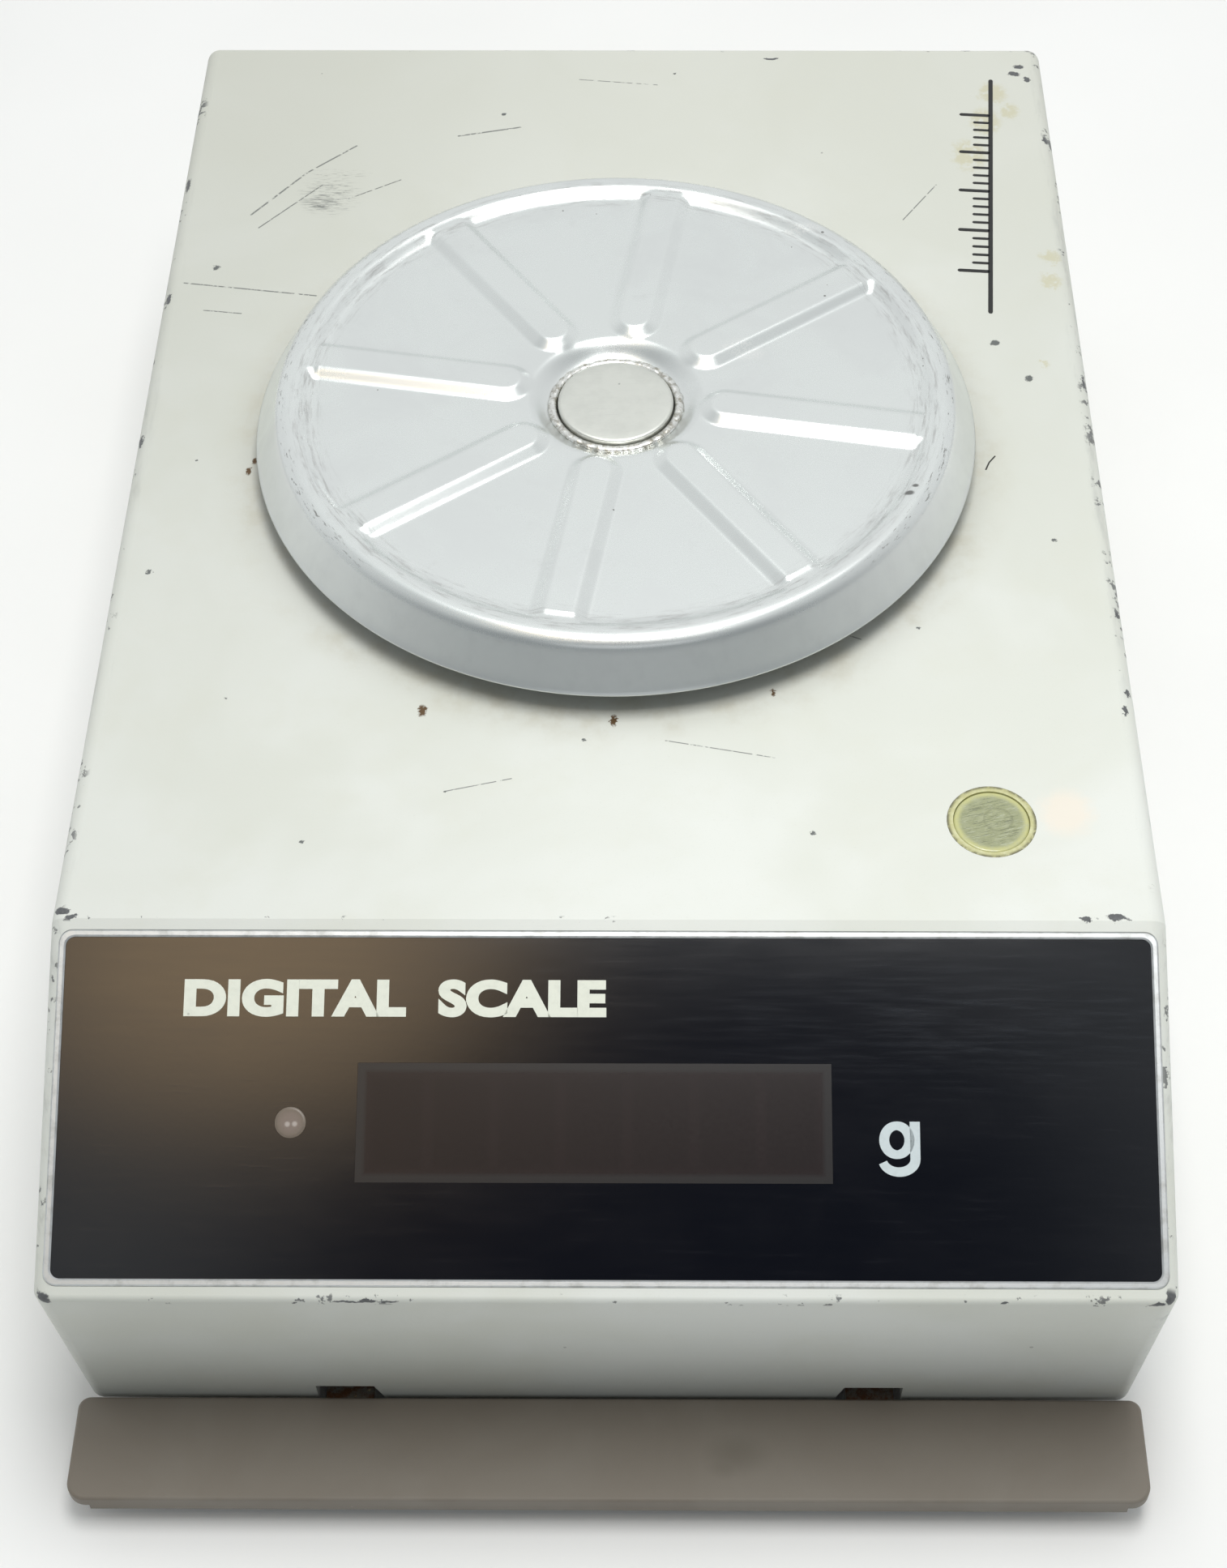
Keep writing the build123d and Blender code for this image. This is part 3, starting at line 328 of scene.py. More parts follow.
# ---------------------------------------------------------------- the painted casting
def painted_casting():
    g = Mat("painted_casting")
    P = g.mm()
    x, y, z = g.xyz(P)
    P2 = g.vec(x, y, 0.0)
    fine = g.noise(P, 2.6, 2.0, 0.6)
    cloud = g.noise(P, 0.018, 3.0, 0.55, 0.6)
    cloud2 = g.noise(P, 0.06, 4.0, 0.6)
    base = g.mix(g.ss(cloud, 0.35, 0.68), (0.655, 0.672, 0.618), (0.708, 0.726, 0.690))
    base = g.mix(g.ss(cloud2, 0.45, 0.75) * 0.35, base, (0.640, 0.650, 0.575))
    # painted shade: the undercut front wall darker towards its foot, where it faces down and away from the light
    base = g.mix(g.ss(y, -140.0, -142.0) * g.ss(z, 54.0, 8.0) * 0.55, base, (0.200, 0.210, 0.200))
    # painted shade: the top darker and slightly yellower towards the back, lighter at the front, and darker towards the
    # left, as the light falls off
    base = g.mix(g.ss(y, 40.0, 160.0) * 0.55, base, (0.640, 0.645, 0.575))
    base = g.mix(g.ss(y, -70.0, 70.0) * 0.30, base, (0.400, 0.410, 0.370))
    base = g.mix(g.ss(x, 20.0, -95.0) * 0.20, base, (0.330, 0.335, 0.300))
    base = g.mix(g.ss(fine, 0.60, 0.78) * 0.25, base, (0.560, 0.575, 0.530))
    # tiny dark specks all over
    sp = g.max(g.specks(P, 9.0, 0.42, 0.30), g.specks(g.vmath("ADD", P, (31.0, 7.0, 3.0)), 22.0, 0.75, 0.28))
    top = g.ss(z, 81.2, 81.8) * g.ss(y, -88.4, -87.4)

    # where the walls meet: sum of the distances to both surfaces
    ds = (97.5 - (82.0 - z) * DRAFT) - g.abs(x)
    db = BACK_Y - y
    dt = 82.0 - z
    dslope = g.max((dt - (CREASE_Y - y) * math.tan(SLOPE)) * CS, 0.0)
    slope = g.ss(y, -86.5, -88.4)
    n1 = g.noise(P, 0.45, 4.0, 0.65)
    n2 = g.noise(g.vmath("ADD", P, (50.0, 11.0, 5.0)), 0.11, 3.0, 0.6)
    n3 = g.noise(P, 1.6, 3.0, 0.7)

    def edge(e, lo, hi, level):
        """Worn spots along an edge: e is the metric, lo where it is fully on the edge."""
        return g.ss(e, hi, lo) * g.ss(n1 + (n2 - 0.5) * 1.2, level, level + 0.05)

    e_side = edge(ds + dt, 1.85, 2.9, 0.66) * g.ss(y, -90.0, -84.0)
    e_back = edge(db + dt, 1.85, 2.9, 0.63)
    e_vert = edge(ds + db, 1.85, 2.9, 0.67)
    e_crease = g.ss(g.abs(y - CREASE_Y) + dt, 0.9, 0.25) * g.ss(n1 + (n2 - 0.5) * 1.1 + g.ss(g.abs(x), 70.0, 96.0) * 0.10, 0.70, 0.73)
    e_slope = edge(ds + dslope, 1.85, 2.9, 0.66) * slope
    e_lip = g.ss(g.abs(y - PANEL_Y) + g.abs(z - PANEL_Z), 2.0, 1.0) * g.ss(n1 + (n2 - 0.5) * 1.1, 0.70, 0.74)
    worn = g.max(g.max(g.max(e_side, e_back), g.max(e_vert, e_crease)), g.max(e_slope, e_lip))

    # single chips, as (centre, size) on the top face and on the front lip
    chips = [((88.5, -87.6), 1.7, 0.7), ((83.0, -87.9), 0.9, 0.45), ((-95.4, -86.6), 1.5, 0.8), ((-93.6, -88.0), 1.1, 0.5),
             ((64.0, 162.0), 1.5, 0.5), ((71.0, 162.3), 2.4, 0.4), ((80.0, 161.8), 1.2, 0.6), ((91.8, 155.0), 1.1, 0.8),
             ((90.6, 152.2), 1.4, 0.8), ((93.4, 150.2), 0.7, 0.9), ((34.5, 158.0), 1.7, 0.35), ((95.6, 128.0), 0.5, 1.2),
             ((95.2, -40.5), 0.5, 1.2), ((96.4, -16.0), 0.5, 0.9), ((96.2, -36.0), 0.45, 0.8), ((-96.0, 74.0), 0.6, 1.6),
             ((-96.6, 31.0), 0.5, 2.0), ((-96.3, 112.0), 0.5, 2.4), ((96.5, 49.0), 0.4, 2.2)]
    wob = g.vmath("ADD", P2, g.vmath("SCALE", g.vec(n3 - 0.5, n1 - 0.5, 0.0), scale=2.2))
    chip = g.spots(wob, chips, 0.12, worn) * g.ss(z, 78.5, 79.5)
    Plip = g.vec(x, z, 0.0)
    wlip = g.vmath("ADD", Plip, g.vmath("SCALE", g.vec(n3 - 0.5, n1 - 0.5, 0.0), scale=1.6))
    lipchips = [((-40.0, 54.6), 1.6, 0.35), ((-43.5, 54.4), 2.6, 0.22), ((-36.5, 54.5), 1.6, 0.25), ((-52.4, 54.2), 0.35, 0.4),
                ((-94.5, 54.6), 1.2, 0.8), ((92.6, 54.2), 1.4, 0.4), ((95.0, 55.0), 0.9, 1.1), ((67.0, 54.6), 0.7, 0.3)]
    chip = g.max(chip, g.spots(wlip, lipchips, 0.15, chip) * g.ss(y, -145.0, -146.2))

    # scratches and scuffs on the top face
    light_lines = [((-81.1, 101.4), (-70.0, 116.0), 0.16), ((-70.0, 116.0), (-59.7, 125.5), 0.14),
                   ((-79.0, 97.0), (-66.0, 112.0), 0.10), ((-60.0, 107.0), (-49.0, 113.5), 0.09),
                   ((-36.9, 129.1), (-23.0, 132.3), 0.16), ((-93.6, 78.8), (-64.6, 74.7), 0.12),
                   ((-88.0, 70.0), (-80.0, 69.0), 0.09), ((40.0, -20.0), (47.0, -23.0), 0.06),
                   ((-30.0, -60.0), (-18.0, -57.0), 0.05), ((10.0, -48.0), (30.0, -52.0), 0.05),
                   ((62.0, 100.0), (70.0, 112.0), 0.07), ((-10.0, 150.0), (8.0, 148.0), 0.07)]
    line = g.segs(P2, light_lines, 0.12, chip)
    line = line * g.ss(g.noise(g.after(P, line), 0.9, 2.0, 0.6), 0.36, 0.5) * 0.75
    # dark smudge of crossed scuffs
    PS = g.after(P2, line)
    streak = g.noise(g.stretch(g.vmath("ADD", PS, g.vec(y * 0.9, 0.0, 0.0)), 0.30, 2.6, 1.0), 1.0, 4.0, 0.7)
    smudge = g.spot(PS, (-64.4, 108.0), 5.4, 5.6, 0.55) * g.ss(streak, 0.50, 0.66) * 0.85
    smudge = g.max(smudge, g.spot(PS, (-66.6, 105.2), 3.0, 2.2, 0.5) * g.ss(streak, 0.42, 0.6) * 0.8)
    smudge = g.max(smudge, g.spot(PS, (-63.2, 115.4), 6.5, 1.6, 0.5) * g.ss(streak, 0.52, 0.66) * 0.5)
    dots = g.spots(wob, [((-86.9, 83.8), 0.7, 0.7), ((-27.0, 137.0), 0.45, 0.45), ((-54.8, -71.7), 0.42, 0.42), ((36.3, -69.3), 0.45, 0.45),
                         ((79.0, 60.0), 0.9, 0.7), ((-5.0, -48.0), 0.35, 0.35), ((-84.5, 25.0), 0.4, 0.4), ((86.0, 3.0), 0.4, 0.4),
                         ((-30.0, -60.0), 0.3, 0.3), ((85.2, 49.2), 0.8, 0.8), ((-72.0, -38.0), 0.3, 0.3), ((12.0, 152.0), 0.35, 0.35),
                         ((58.0, -20.0), 0.3, 0.3), ((-90.2, -6.0), 0.5, 0.5)], 0.25, smudge)
    dark = g.clamp(g.max(line, g.max(smudge, dots * 0.9)) * top)
    # a short curved hair
    hair = g.max(g.seg(P2, (74.2, 22.6), (75.0, 24.6), 0.10), g.seg(P2, (75.0, 24.6), (76.3, 26.4), 0.10)) * top

    # stains: dried glue near the mark, a pale one beside the level; grime round the pan, mixed with a painted shadow
    # round its skirt and painted shade under it
    wg = g.vmath("ADD", P2, g.vmath("SCALE", g.vec(n1 - 0.5, n3 - 0.5, 0.0), scale=5.0))
    glue = g.spots(wg, [((85.2, 145.0), 3.0, 3.4), ((82.6, 134.6), 3.4, 4.4), ((78.2, 122.4), 3.6, 5.0), ((93.4, 87.4), 2.0, 2.2),
                        ((92.6, 79.8), 2.2, 2.4), ((88.8, 53.5), 1.0, 1.1), ((88.5, 138.5), 2.0, 2.6)], 0.35, dark)
    glue = g.clamp(glue * top * g.ss(n1, 0.34, 0.52))
    beige = g.spot(g.vmath("ADD", P2, g.vmath("SCALE", g.vec(n1 - 0.5, n2 - 0.5, 0.0), scale=4.0)), (82.0, -64.4), 4.4, 5.0, 0.45) * top
    rpan = g.vmath("LENGTH", g.vmath("SUBTRACT", P2, (0.0, PAN_Y, 0.0)))
    # painted shadow round the pan's skirt edge, broken up by grime; below it painted shade under the pan
    ring = g.ss(rpan, 62.0, 70.0) * g.ss(rpan, 82.0, 72.0) * top
    grime_and_pan_shadow = g.clamp(ring * (g.ss(g.noise(P, 0.13, 4.0, 0.65), 0.40, 0.72) * 0.75 + 0.12))
    shade_under_pan = g.ss(rpan, 70.0, 60.0) * top

    col = g.mix(sp * 0.65, base, (0.20, 0.205, 0.19))
    # grime with painted shadow round the pan, then painted shade under it
    col = g.mix(grime_and_pan_shadow * 0.55, col, (0.47, 0.44, 0.34))
    col = g.mix(shade_under_pan * 0.35, col, (0.40, 0.38, 0.32))
    col = g.mix(glue * 0.60, col, (0.50, 0.47, 0.30))
    col = g.mix(beige * 0.65, col, (0.78, 0.70, 0.60))
    # rust spots that have run from the pan's carrier
    rust = g.spots(wob, [((-35.1, -41.0), 0.7, 1.4), ((0.3, -43.3), 0.63, 1.26), ((-73.6, 21.7), 0.56, 1.1), ((-72.8, 24.6), 0.42, 0.84),
                         ((30.0, -36.4), 0.42, 0.84)], 0.3, glue)
    col = g.mix(g.clamp(rust * top), col, (0.10, 0.055, 0.02))
    # grey rub marks along the long edges
    rub = g.ss(ds, 4.5, 0.6) * g.ss(g.noise(g.stretch(P, 1.0, 0.16, 1.0), 0.30, 4.0, 0.7), 0.50, 0.74)
    col = g.mix(rub * 0.42, col, (0.30, 0.31, 0.30))
    col = g.mix(dark, col, (0.070, 0.078, 0.080))
    col = g.mix(g.clamp(worn * 0.85 + chip), col, g.mix(n3, (0.035, 0.038, 0.042), (0.17, 0.175, 0.18)))
    col = g.mix(g.clamp(hair), col, (0.02, 0.018, 0.015))
    # painted shade, in patches: the walls darker towards their foot near the bench
    low = g.ss(z, 30.0, 7.0) * g.ss(cloud2, 0.35, 0.7) * 0.45
    col = g.mix(low, col, (0.42, 0.41, 0.36))
    g.set(Base_Color=col, Roughness=g.clamp(g.noise(P, 0.25, 3.0, 0.6) * 0.18 + 0.36 + worn * 0.15 - glue * 0.12),
          Specular_IOR_Level=0.38)
    h = fine * 0.55 + g.noise(P, 0.9, 2.0, 0.5) * 0.45 - g.clamp(worn + chip) * 1.6 - dark * 0.4
    g.bump(h, 0.35, 0.06)
    return g.m


# ---------------------------------------------------------------- display face
def trim_metal():
    g = Mat("trim_metal")
    P = g.mm()
    brushed = g.noise(g.stretch(P, 0.25, 3.0, 3.0), 1.2, 4.0, 0.6)
    dull = g.noise(P, 0.35, 4.0, 0.65)
    col = g.mix(g.ss(dull, 0.42, 0.75) * 0.6, (0.60, 0.62, 0.63), (0.33, 0.33, 0.31))
    col = g.mix(g.specks(P, 4.0, 0.35, 0.3) * 0.8, col, (0.10, 0.10, 0.095))
    g.set(Base_Color=col, Metallic=0.85, Roughness=g.clamp(dull * 0.3 + 0.24))
    g.bump(brushed, 0.25, 0.02)
    return g.m


def face_uv(g):
    """In-plane coordinates of the display face, in mm: u across, v down the slope."""
    P = g.mm()
    x, y, z = g.xyz(P)
    v = (CREASE_Y - y) * CS + (TOP_Z - z) * SN
    return P, x, v


def fascia_black():
    g = Mat("fascia_black")
    P, u, v = face_uv(g)
    Q = g.vec(u, v, 0.0)
    haze = g.noise(g.stretch(Q, 1.0, 2.4, 1.0), 0.035, 4.0, 0.6, 0.8)
    wipe = g.noise(g.stretch(g.vmath("ADD", Q, g.vec(v * -1.1, 0.0, 0.0)), 0.12, 1.5, 1.0), 0.6, 4.0, 0.65)
    dust = g.specks(Q, 7.0, 0.22, 0.28)
    col = g.mix(g.ss(haze, 0.4, 0.8) * 0.5, (0.0035, 0.0042, 0.0070), (0.0075, 0.0080, 0.0110))
    col = g.mix(g.ss(wipe, 0.56, 0.80) * 0.25, col, (0.020, 0.021, 0.026))
    col = g.mix(dust * 0.65, col, (0.16, 0.17, 0.18))
    # painted reflection: bluish-grey brightening in the upper right corner, streaked by the wipe marks
    corner_reflection = g.spot(Q, (60.0, 17.0), 34.0, 9.0, 0.9) * g.ss(wipe, 0.42, 0.72)
    col = g.mix(corner_reflection * 0.35, col, (0.028, 0.032, 0.040))
    g.set(Base_Color=col, Roughness=g.clamp(haze * 0.04 + wipe * 0.04 + 0.075), Specular_IOR_Level=0.5)
    g.bump(g.noise(Q, 1.2, 3.0, 0.5) * 0.5 + g.ss(wipe, 0.55, 0.8) * 0.4, 0.12, 0.02)
    return g.m


def red_filter():
    g = Mat("red_filter")
    P, u, v = face_uv(g)
    Q = g.vec(u, v, 0.0)
    cloud = g.noise(Q, 0.05, 3.0, 0.6)
    grain = g.noise(Q, 1.5, 2.0, 0.5)
    # the digit modules show as faint darker cells through the smoked filter
    cell = g.math("PINGPONG", (u + 2.15 + 5.7), 5.7)
    gap = g.ss(cell, 0.5, 1.3)
    inside = g.ss(g.abs(v - 35.3), 8.2, 6.9) * g.ss(g.abs(u + 2.15), 38.6, 37.4)
    rim = g.ss(g.max(g.abs(v - 35.3) - 10.2, g.abs(u + 2.15) - 40.6), -1.9, -0.9)
    col = g.mix(g.ss(cloud, 0.3, 0.75) * 0.6, (0.0105, 0.0052, 0.0060), (0.0080, 0.0036, 0.0044))
    col = g.mix(gap * inside * 0.55, col, (0.0050, 0.0018, 0.0024))
    col = g.mix(rim * 0.75, col, (0.0220, 0.0220, 0.0230))
    col = g.mix(g.specks(Q, 9.0, 0.3, 0.35) * 0.7, col, (0.20, 0.19, 0.19))
    g.set(Base_Color=col, Roughness=g.clamp(grain * 0.06 + 0.22), Specular_IOR_Level=0.34)
    g.bump(grain, 0.12, 0.02)
    return g.m


def lens_smoke():
    g = Mat("lens_smoke")
    P, u, v = face_uv(g)
    Q = g.vec(u + 54.05, v - 35.36, 0.0)
    r = g.vmath("LENGTH", Q)
    # painted highlight: two small light glints on the lens
    two = g.max(g.spot(Q, (-0.5, 0.3), 0.42, 0.42, 0.5), g.spot(Q, (0.75, 0.25), 0.42, 0.42, 0.5))
    col = g.mix(g.ss(r, 1.0, 2.6), (0.145, 0.112, 0.100), (0.105, 0.085, 0.066))
    col = g.mix(g.noise(Q, 1.2, 3.0, 0.6) * 0.3, col, (0.19, 0.16, 0.14))
    col = g.mix(two * 0.75, col, (0.42, 0.38, 0.36))
    g.set(Base_Color=col, Roughness=g.clamp(g.noise(P, 2.0, 2.0, 0.5) * 0.1 + 0.25), Coat_Weight=0.5, Coat_Roughness=0.15)
    g.bump(g.ss(r, 2.6, 2.2), 0.4, 0.1)
    return g.m


# ---------------------------------------------------------------- level
def cup_plastic():
    g = Mat("cup_plastic")
    P = g.mm()
    n = g.noise(P, 0.7, 4.0, 0.6)
    f = g.noise(P, 4.0, 3.0, 0.6)
    x, y, z = g.xyz(P)
    r = g.vmath("LENGTH", g.vmath("SUBTRACT", g.vec(x, y, 0.0), (VIAL_X, VIAL_Y, 0.0)))
    col = g.mix(g.ss(n, 0.35, 0.7), (0.50, 0.49, 0.24), (0.60, 0.60, 0.36))
    col = g.mix(g.ss(r, 7.0, 7.7) * 0.4, col, (0.34, 0.33, 0.15))
    side = g.ss(x + (y * 0.4) + 0.0, VIAL_X - 2.0, VIAL_X - 9.0)
    col = g.mix(g.ss(r, 7.35, 7.9) * g.ss(g.noise(P, 0.5, 4.0, 0.6), 0.36, 0.55) * 0.85, col, (0.10, 0.095, 0.05))
    g.set(Base_Color=col, Roughness=g.clamp(f * 0.25 + 0.35))
    g.bump(f, 0.3, 0.05)
    return g.m


def vial_fluid():
    g = Mat("vial_fluid")
    P = g.mm()
    x, y, z = g.xyz(P)
    Q = g.vmath("SUBTRACT", g.vec(x, y, 0.0), (VIAL_X, VIAL_Y, 0.0))
    r = g.vmath("LENGTH", Q)
    qx, qy, _ = g.xyz(Q)
    a = math.radians(14)
    along = qx * math.cos(a) + qy * math.sin(a)
    across = qy * math.cos(a) - qx * math.sin(a)
    s1 = g.noise(g.vec(along * 0.22, across * 5.5, 1.0), 1.0, 3.0, 0.75)
    s2 = g.noise(g.vec((along + across * 0.35) * 0.30, (across - along * 0.18) * 7.5, 4.0), 1.0, 2.0, 0.7)
    scr = g.clamp(g.ss(s1, 0.56, 0.64) + g.ss(s2, 0.60, 0.68) * 0.8)
    scr = scr * g.ss(r, 6.4, 4.6)
    pale = g.ss(g.noise(g.vec(along * 0.3, across * 3.5, 9.0), 1.0, 3.0, 0.7), 0.56, 0.68) * g.ss(r, 6.4, 5.0)
    col = g.mix(g.ss(r, 5.3, 6.3), (0.300, 0.320, 0.180), (0.50, 0.50, 0.22))
    col = g.mix(g.ss(g.noise(Q, 0.5, 4.0, 0.6), 0.40, 0.7) * 0.5, col, (0.40, 0.42, 0.28))
    col = g.mix(pale * 0.55, col, (0.62, 0.66, 0.55))
    col = g.mix(scr * 0.85, col, (0.085, 0.10, 0.055))
    # the bubble's edge, seen through the scratches
    rb = g.vmath("LENGTH", g.vmath("SUBTRACT", Q, (1.2, 0.5, 0.0)))
    col = g.mix(g.ss(g.abs(rb - 2.5), 0.32, 0.12) * 0.22, col, (0.10, 0.11, 0.05))
    g.set(Base_Color=col, Roughness=g.clamp(scr * 0.3 + 0.22), Coat_Weight=0.4, Coat_Roughness=0.25)
    g.bump(1.0 - scr, 0.5, 0.06)
    return g.m


# ---------------------------------------------------------------- pan
def pan_aluminium():
    g = Mat("pan_aluminium")
    P = g.mm()
    x, y, z = g.xyz(P)
    Q = g.vmath("SUBTRACT", g.vec(x, y, 0.0), (0.0, PAN_Y, 0.0))
    r = g.vmath("LENGTH", Q)
    qx, qy, _ = g.xyz(Q)
    ang = g.math("ARCTAN2", qy, qx)
    turned = g.noise(g.vec(r * 3.2, ang * 2.0, 0.0), 1.0, 3.0, 0.6)
    grain = g.noise(P, 3.0, 3.0, 0.6)
    cloud = g.noise(P, 0.045, 4.0, 0.6, 0.5)
    blot = g.noise(P, 0.16, 5.0, 0.65)
    col = g.mix(g.ss(cloud, 0.35, 0.7), (0.830, 0.855, 0.845), (0.780, 0.800, 0.795))
    col = g.mix(g.ss(blot, 0.60, 0.80) * 0.25, col, (0.66, 0.67, 0.66))
    # grime in the corner at the foot of the rim
    rim_dirt = g.ss(r, 57.0, 61.0) * g.ss(r, 65.2, 63.4)
    streak = g.noise(g.vec(r * 1.3, ang * 9.0, 3.0), 1.0, 4.0, 0.7)
    streak2 = g.noise(g.vec(r * 2.6, ang * 26.0, 8.0), 1.0, 3.0, 0.7)
    col = g.mix(rim_dirt * g.ss(streak, 0.46, 0.70) * 0.55, col, (0.40, 0.39, 0.38))
    scuff = g.ss(r, 64.9, 65.5) * g.ss(r, 67.4, 66.6) * g.ss(g.abs(qx), 38.0, 56.0) * g.ss(streak2 * 0.6 + streak * 0.4, 0.54, 0.62)
    col = g.mix(scuff * 0.75, col, (0.16, 0.15, 0.14))
    sp = g.max(g.specks(P, 6.0, 0.34, 0.26), g.specks(g.vmath("ADD", P, (17.0, 5.0, 9.0)), 15.0, 0.55, 0.30))
    col = g.mix(sp * 0.75, col, (0.17, 0.165, 0.15))
    bright = g.specks(g.vmath("ADD", P, (71.0, 25.0, 4.0)), 11.0, 0.5, 0.22)
    col = g.mix(bright * 0.8, col, (0.97, 0.97, 0.96))
    # tide marks: two dried splashes on the right
    P2 = g.vec(x, y, 0.0)
    wob = g.vmath("ADD", P2, g.vmath("SCALE", g.vec(blot - 0.5, cloud - 0.5, 0.0), scale=9.0))
    for c, rx, ry in [((25.5, 43.0), 3.4, 2.0), ((39.0, 88.5 - 8.0), 3.5, 1.2)]:
        col = g.mix(g.spot(wob, c, rx, ry, 0.5) * g.ss(grain, 0.42, 0.6) * 0.7, col, (0.93, 0.93, 0.91))
    # dark nick on the rim, right front
    for c, rr in [((56.5, 1.5), 0.9), ((57.8, 3.4), 0.6)]:
        col = g.mix(g.spot(P2, c, rr, rr * 0.7, 0.4) * 0.8, col, (0.09, 0.085, 0.08))
    skirt = g.ss(z, 95.2, 93.8) * g.ss(r, 66.4, 67.2)
    vert = g.noise(g.vec(ang * 16.0, z * 0.16, 2.0), 1.0, 3.0, 0.6)
    col = g.mix(skirt * g.ss(vert, 0.45, 0.75) * 0.22, col, (0.66, 0.68, 0.68))
    g.set(Base_Color=col, Metallic=1.0,
          Roughness=g.clamp(cloud * 0.10 + grain * 0.06 + 0.20 + skirt * 0.06 + scuff * 0.2))
    g.bump(turned * 0.5 + grain * 0.5 - sp * 1.5, 0.22, 0.025)
    return g.m


def ring_aluminium():
    g = Mat("ring_aluminium")
    P = g.mm()
    n = g.noise(P, 0.9, 4.0, 0.7)
    f = g.noise(P, 3.5, 3.0, 0.6)
    col = g.mix(g.ss(n, 0.42, 0.66), (0.78, 0.78, 0.76), (0.40, 0.38, 0.33))
    col = g.mix(g.specks(P, 1.8, 0.5, 0.45) * 0.8, col, (0.98, 0.98, 0.97))
    g.set(Base_Color=col, Metallic=1.0, Roughness=g.clamp(f * 0.3 + 0.16))
    g.bump(n * 0.6 + f * 0.4, 0.55, 0.12)
    return g.m


def hub_aluminium():
    g = Mat("hub_aluminium")
    P = g.mm()
    x, y, z = g.xyz(P)
    line = g.noise(g.vec(x * 0.10 + y * 0.03, y * 5.0 - x * 0.3, 0.0), 1.0, 4.0, 0.65)
    cloud = g.noise(P, 0.22, 4.0, 0.6)
    fine = g.noise(P, 5.0, 2.0, 0.5)
    col = g.mix(g.ss(cloud, 0.35, 0.7), (0.66, 0.67, 0.63), (0.60, 0.61, 0.575))
    col = g.mix(g.ss(line, 0.55, 0.75) * 0.35, col, (0.50, 0.50, 0.48))
    col = g.mix(g.specks(P, 3.5, 0.25, 0.25) * 0.6, col, (0.25, 0.25, 0.23))
    g.set(Base_Color=col, Metallic=0.95, Roughness=g.clamp(cloud * 0.12 + fine * 0.08 + 0.34))
    g.bump(line * 0.7 + fine * 0.3, 0.35, 0.03)
    return g.m


# ---------------------------------------------------------------- control bar and below
def bar_plastic():
    g = Mat("bar_plastic")
    P = g.mm()
    x, y, z = g.xyz(P)
    cloud = g.noise(P, 0.03, 4.0, 0.6, 0.5)
    grit = g.noise(P, 4.2, 2.0, 0.6)
    wipe = g.noise(g.stretch(P, 0.10, 0.8, 1.0), 0.5, 4.0, 0.6)
    col = g.mix(g.ss(cloud, 0.35, 0.7), (0.185, 0.160, 0.130), (0.205, 0.182, 0.152))
    col = g.mix(g.ss(wipe, 0.5, 0.8) * 0.25, col, (0.190, 0.170, 0.145))
    col = g.mix(g.ss(grit, 0.62, 0.8) * 0.25, col, (0.22, 0.20, 0.175))
    P2 = g.vec(x, y, 0.0)
    stain = g.max(g.spot(P2, (23.2, -154.3), 4.2, 2.8, 0.8) * 0.5, g.spot(P2, (21.0, -156.6), 2.4, 1.6, 0.8) * 0.4)
    col = g.mix(stain * 0.75, col, (0.100, 0.085, 0.062))
    col = g.mix(g.specks(P, 8.0, 0.35, 0.3) * 0.5, col, (0.30, 0.27, 0.23))
    col = g.mix(g.specks(g.vmath("ADD", P, (9.0, 3.0, 1.0)), 14.0, 0.45, 0.25) * 0.6, col, (0.05, 0.045, 0.04))
    edge = g.ss(g.max(g.abs(x) - 96.9, -163.15 - y), -0.9, 0.0)
    col = g.mix(edge * g.ss(cloud, 0.3, 0.6) * 0.35, col, (0.25, 0.23, 0.20))
    g.set(Base_Color=col, Roughness=g.clamp(cloud * 0.14 + wipe * 0.08 + 0.44), Specular_IOR_Level=0.4)
    g.bump(grit * 0.8 + wipe * 0.2, 0.35, 0.05)
    return g.m


def rusty_steel():
    g = Mat("rusty_steel")
    P = g.mm()
    n = g.noise(P, 0.5, 5.0, 0.7)
    f = g.noise(P, 2.4, 4.0, 0.7)
    col = g.mix(g.ss(n, 0.40, 0.60), (0.18, 0.165, 0.14), (0.13, 0.055, 0.022))
    col = g.mix(g.ss(f, 0.55, 0.75) * 0.7, col, (0.050, 0.024, 0.013))
    col = g.mix(g.ss(g.noise(P, 0.8, 3.0, 0.6), 0.64, 0.75), col, (0.42, 0.35, 0.20))
    g.set(Base_Color=col, Metallic=0.35, Roughness=g.clamp(f * 0.3 + 0.45))
    g.bump(f * 0.6 + n * 0.4, 0.7, 0.15)
    return g.m


def simple(name, c1, c2, metal=0.0, rough=0.45, scale=0.5, bump=0.3, bump_mm=0.06, speck=None, coat=0.0, lines=None, spec=0.45):
    """Two-tone mottled finish with fine grain, specks and bump."""
    g = Mat(name)
    P = g.mm()
    n = g.noise(P, scale, 4.0, 0.6, 0.3)
    f = g.noise(P, scale * 8.0, 3.0, 0.6)
    col = g.mix(g.ss(n, 0.36, 0.66), c1, c2)
    if lines:
        ax, period, dark = lines
        k = g.math("PINGPONG", g.xyz(P)[ax], period / 2.0)
        col = g.mix(g.ss(k, period * 0.16, period * 0.05) * 0.8, col, dark)
        f = f * 0.4 + g.ss(k, period * 0.05, period * 0.2) * 0.6
    if speck:
        col = g.mix(g.specks(P, 5.0, 0.5, 0.35) * 0.8, col, speck)
    g.set(Base_Color=col, Metallic=metal, Roughness=g.clamp(n * 0.14 + f * 0.10 + rough - 0.10), Specular_IOR_Level=spec)
    if coat:
        g.set(Coat_Weight=coat, Coat_Roughness=0.12)
    g.bump(f * 0.7 + n * 0.3, bump, bump_mm)
    return g.m


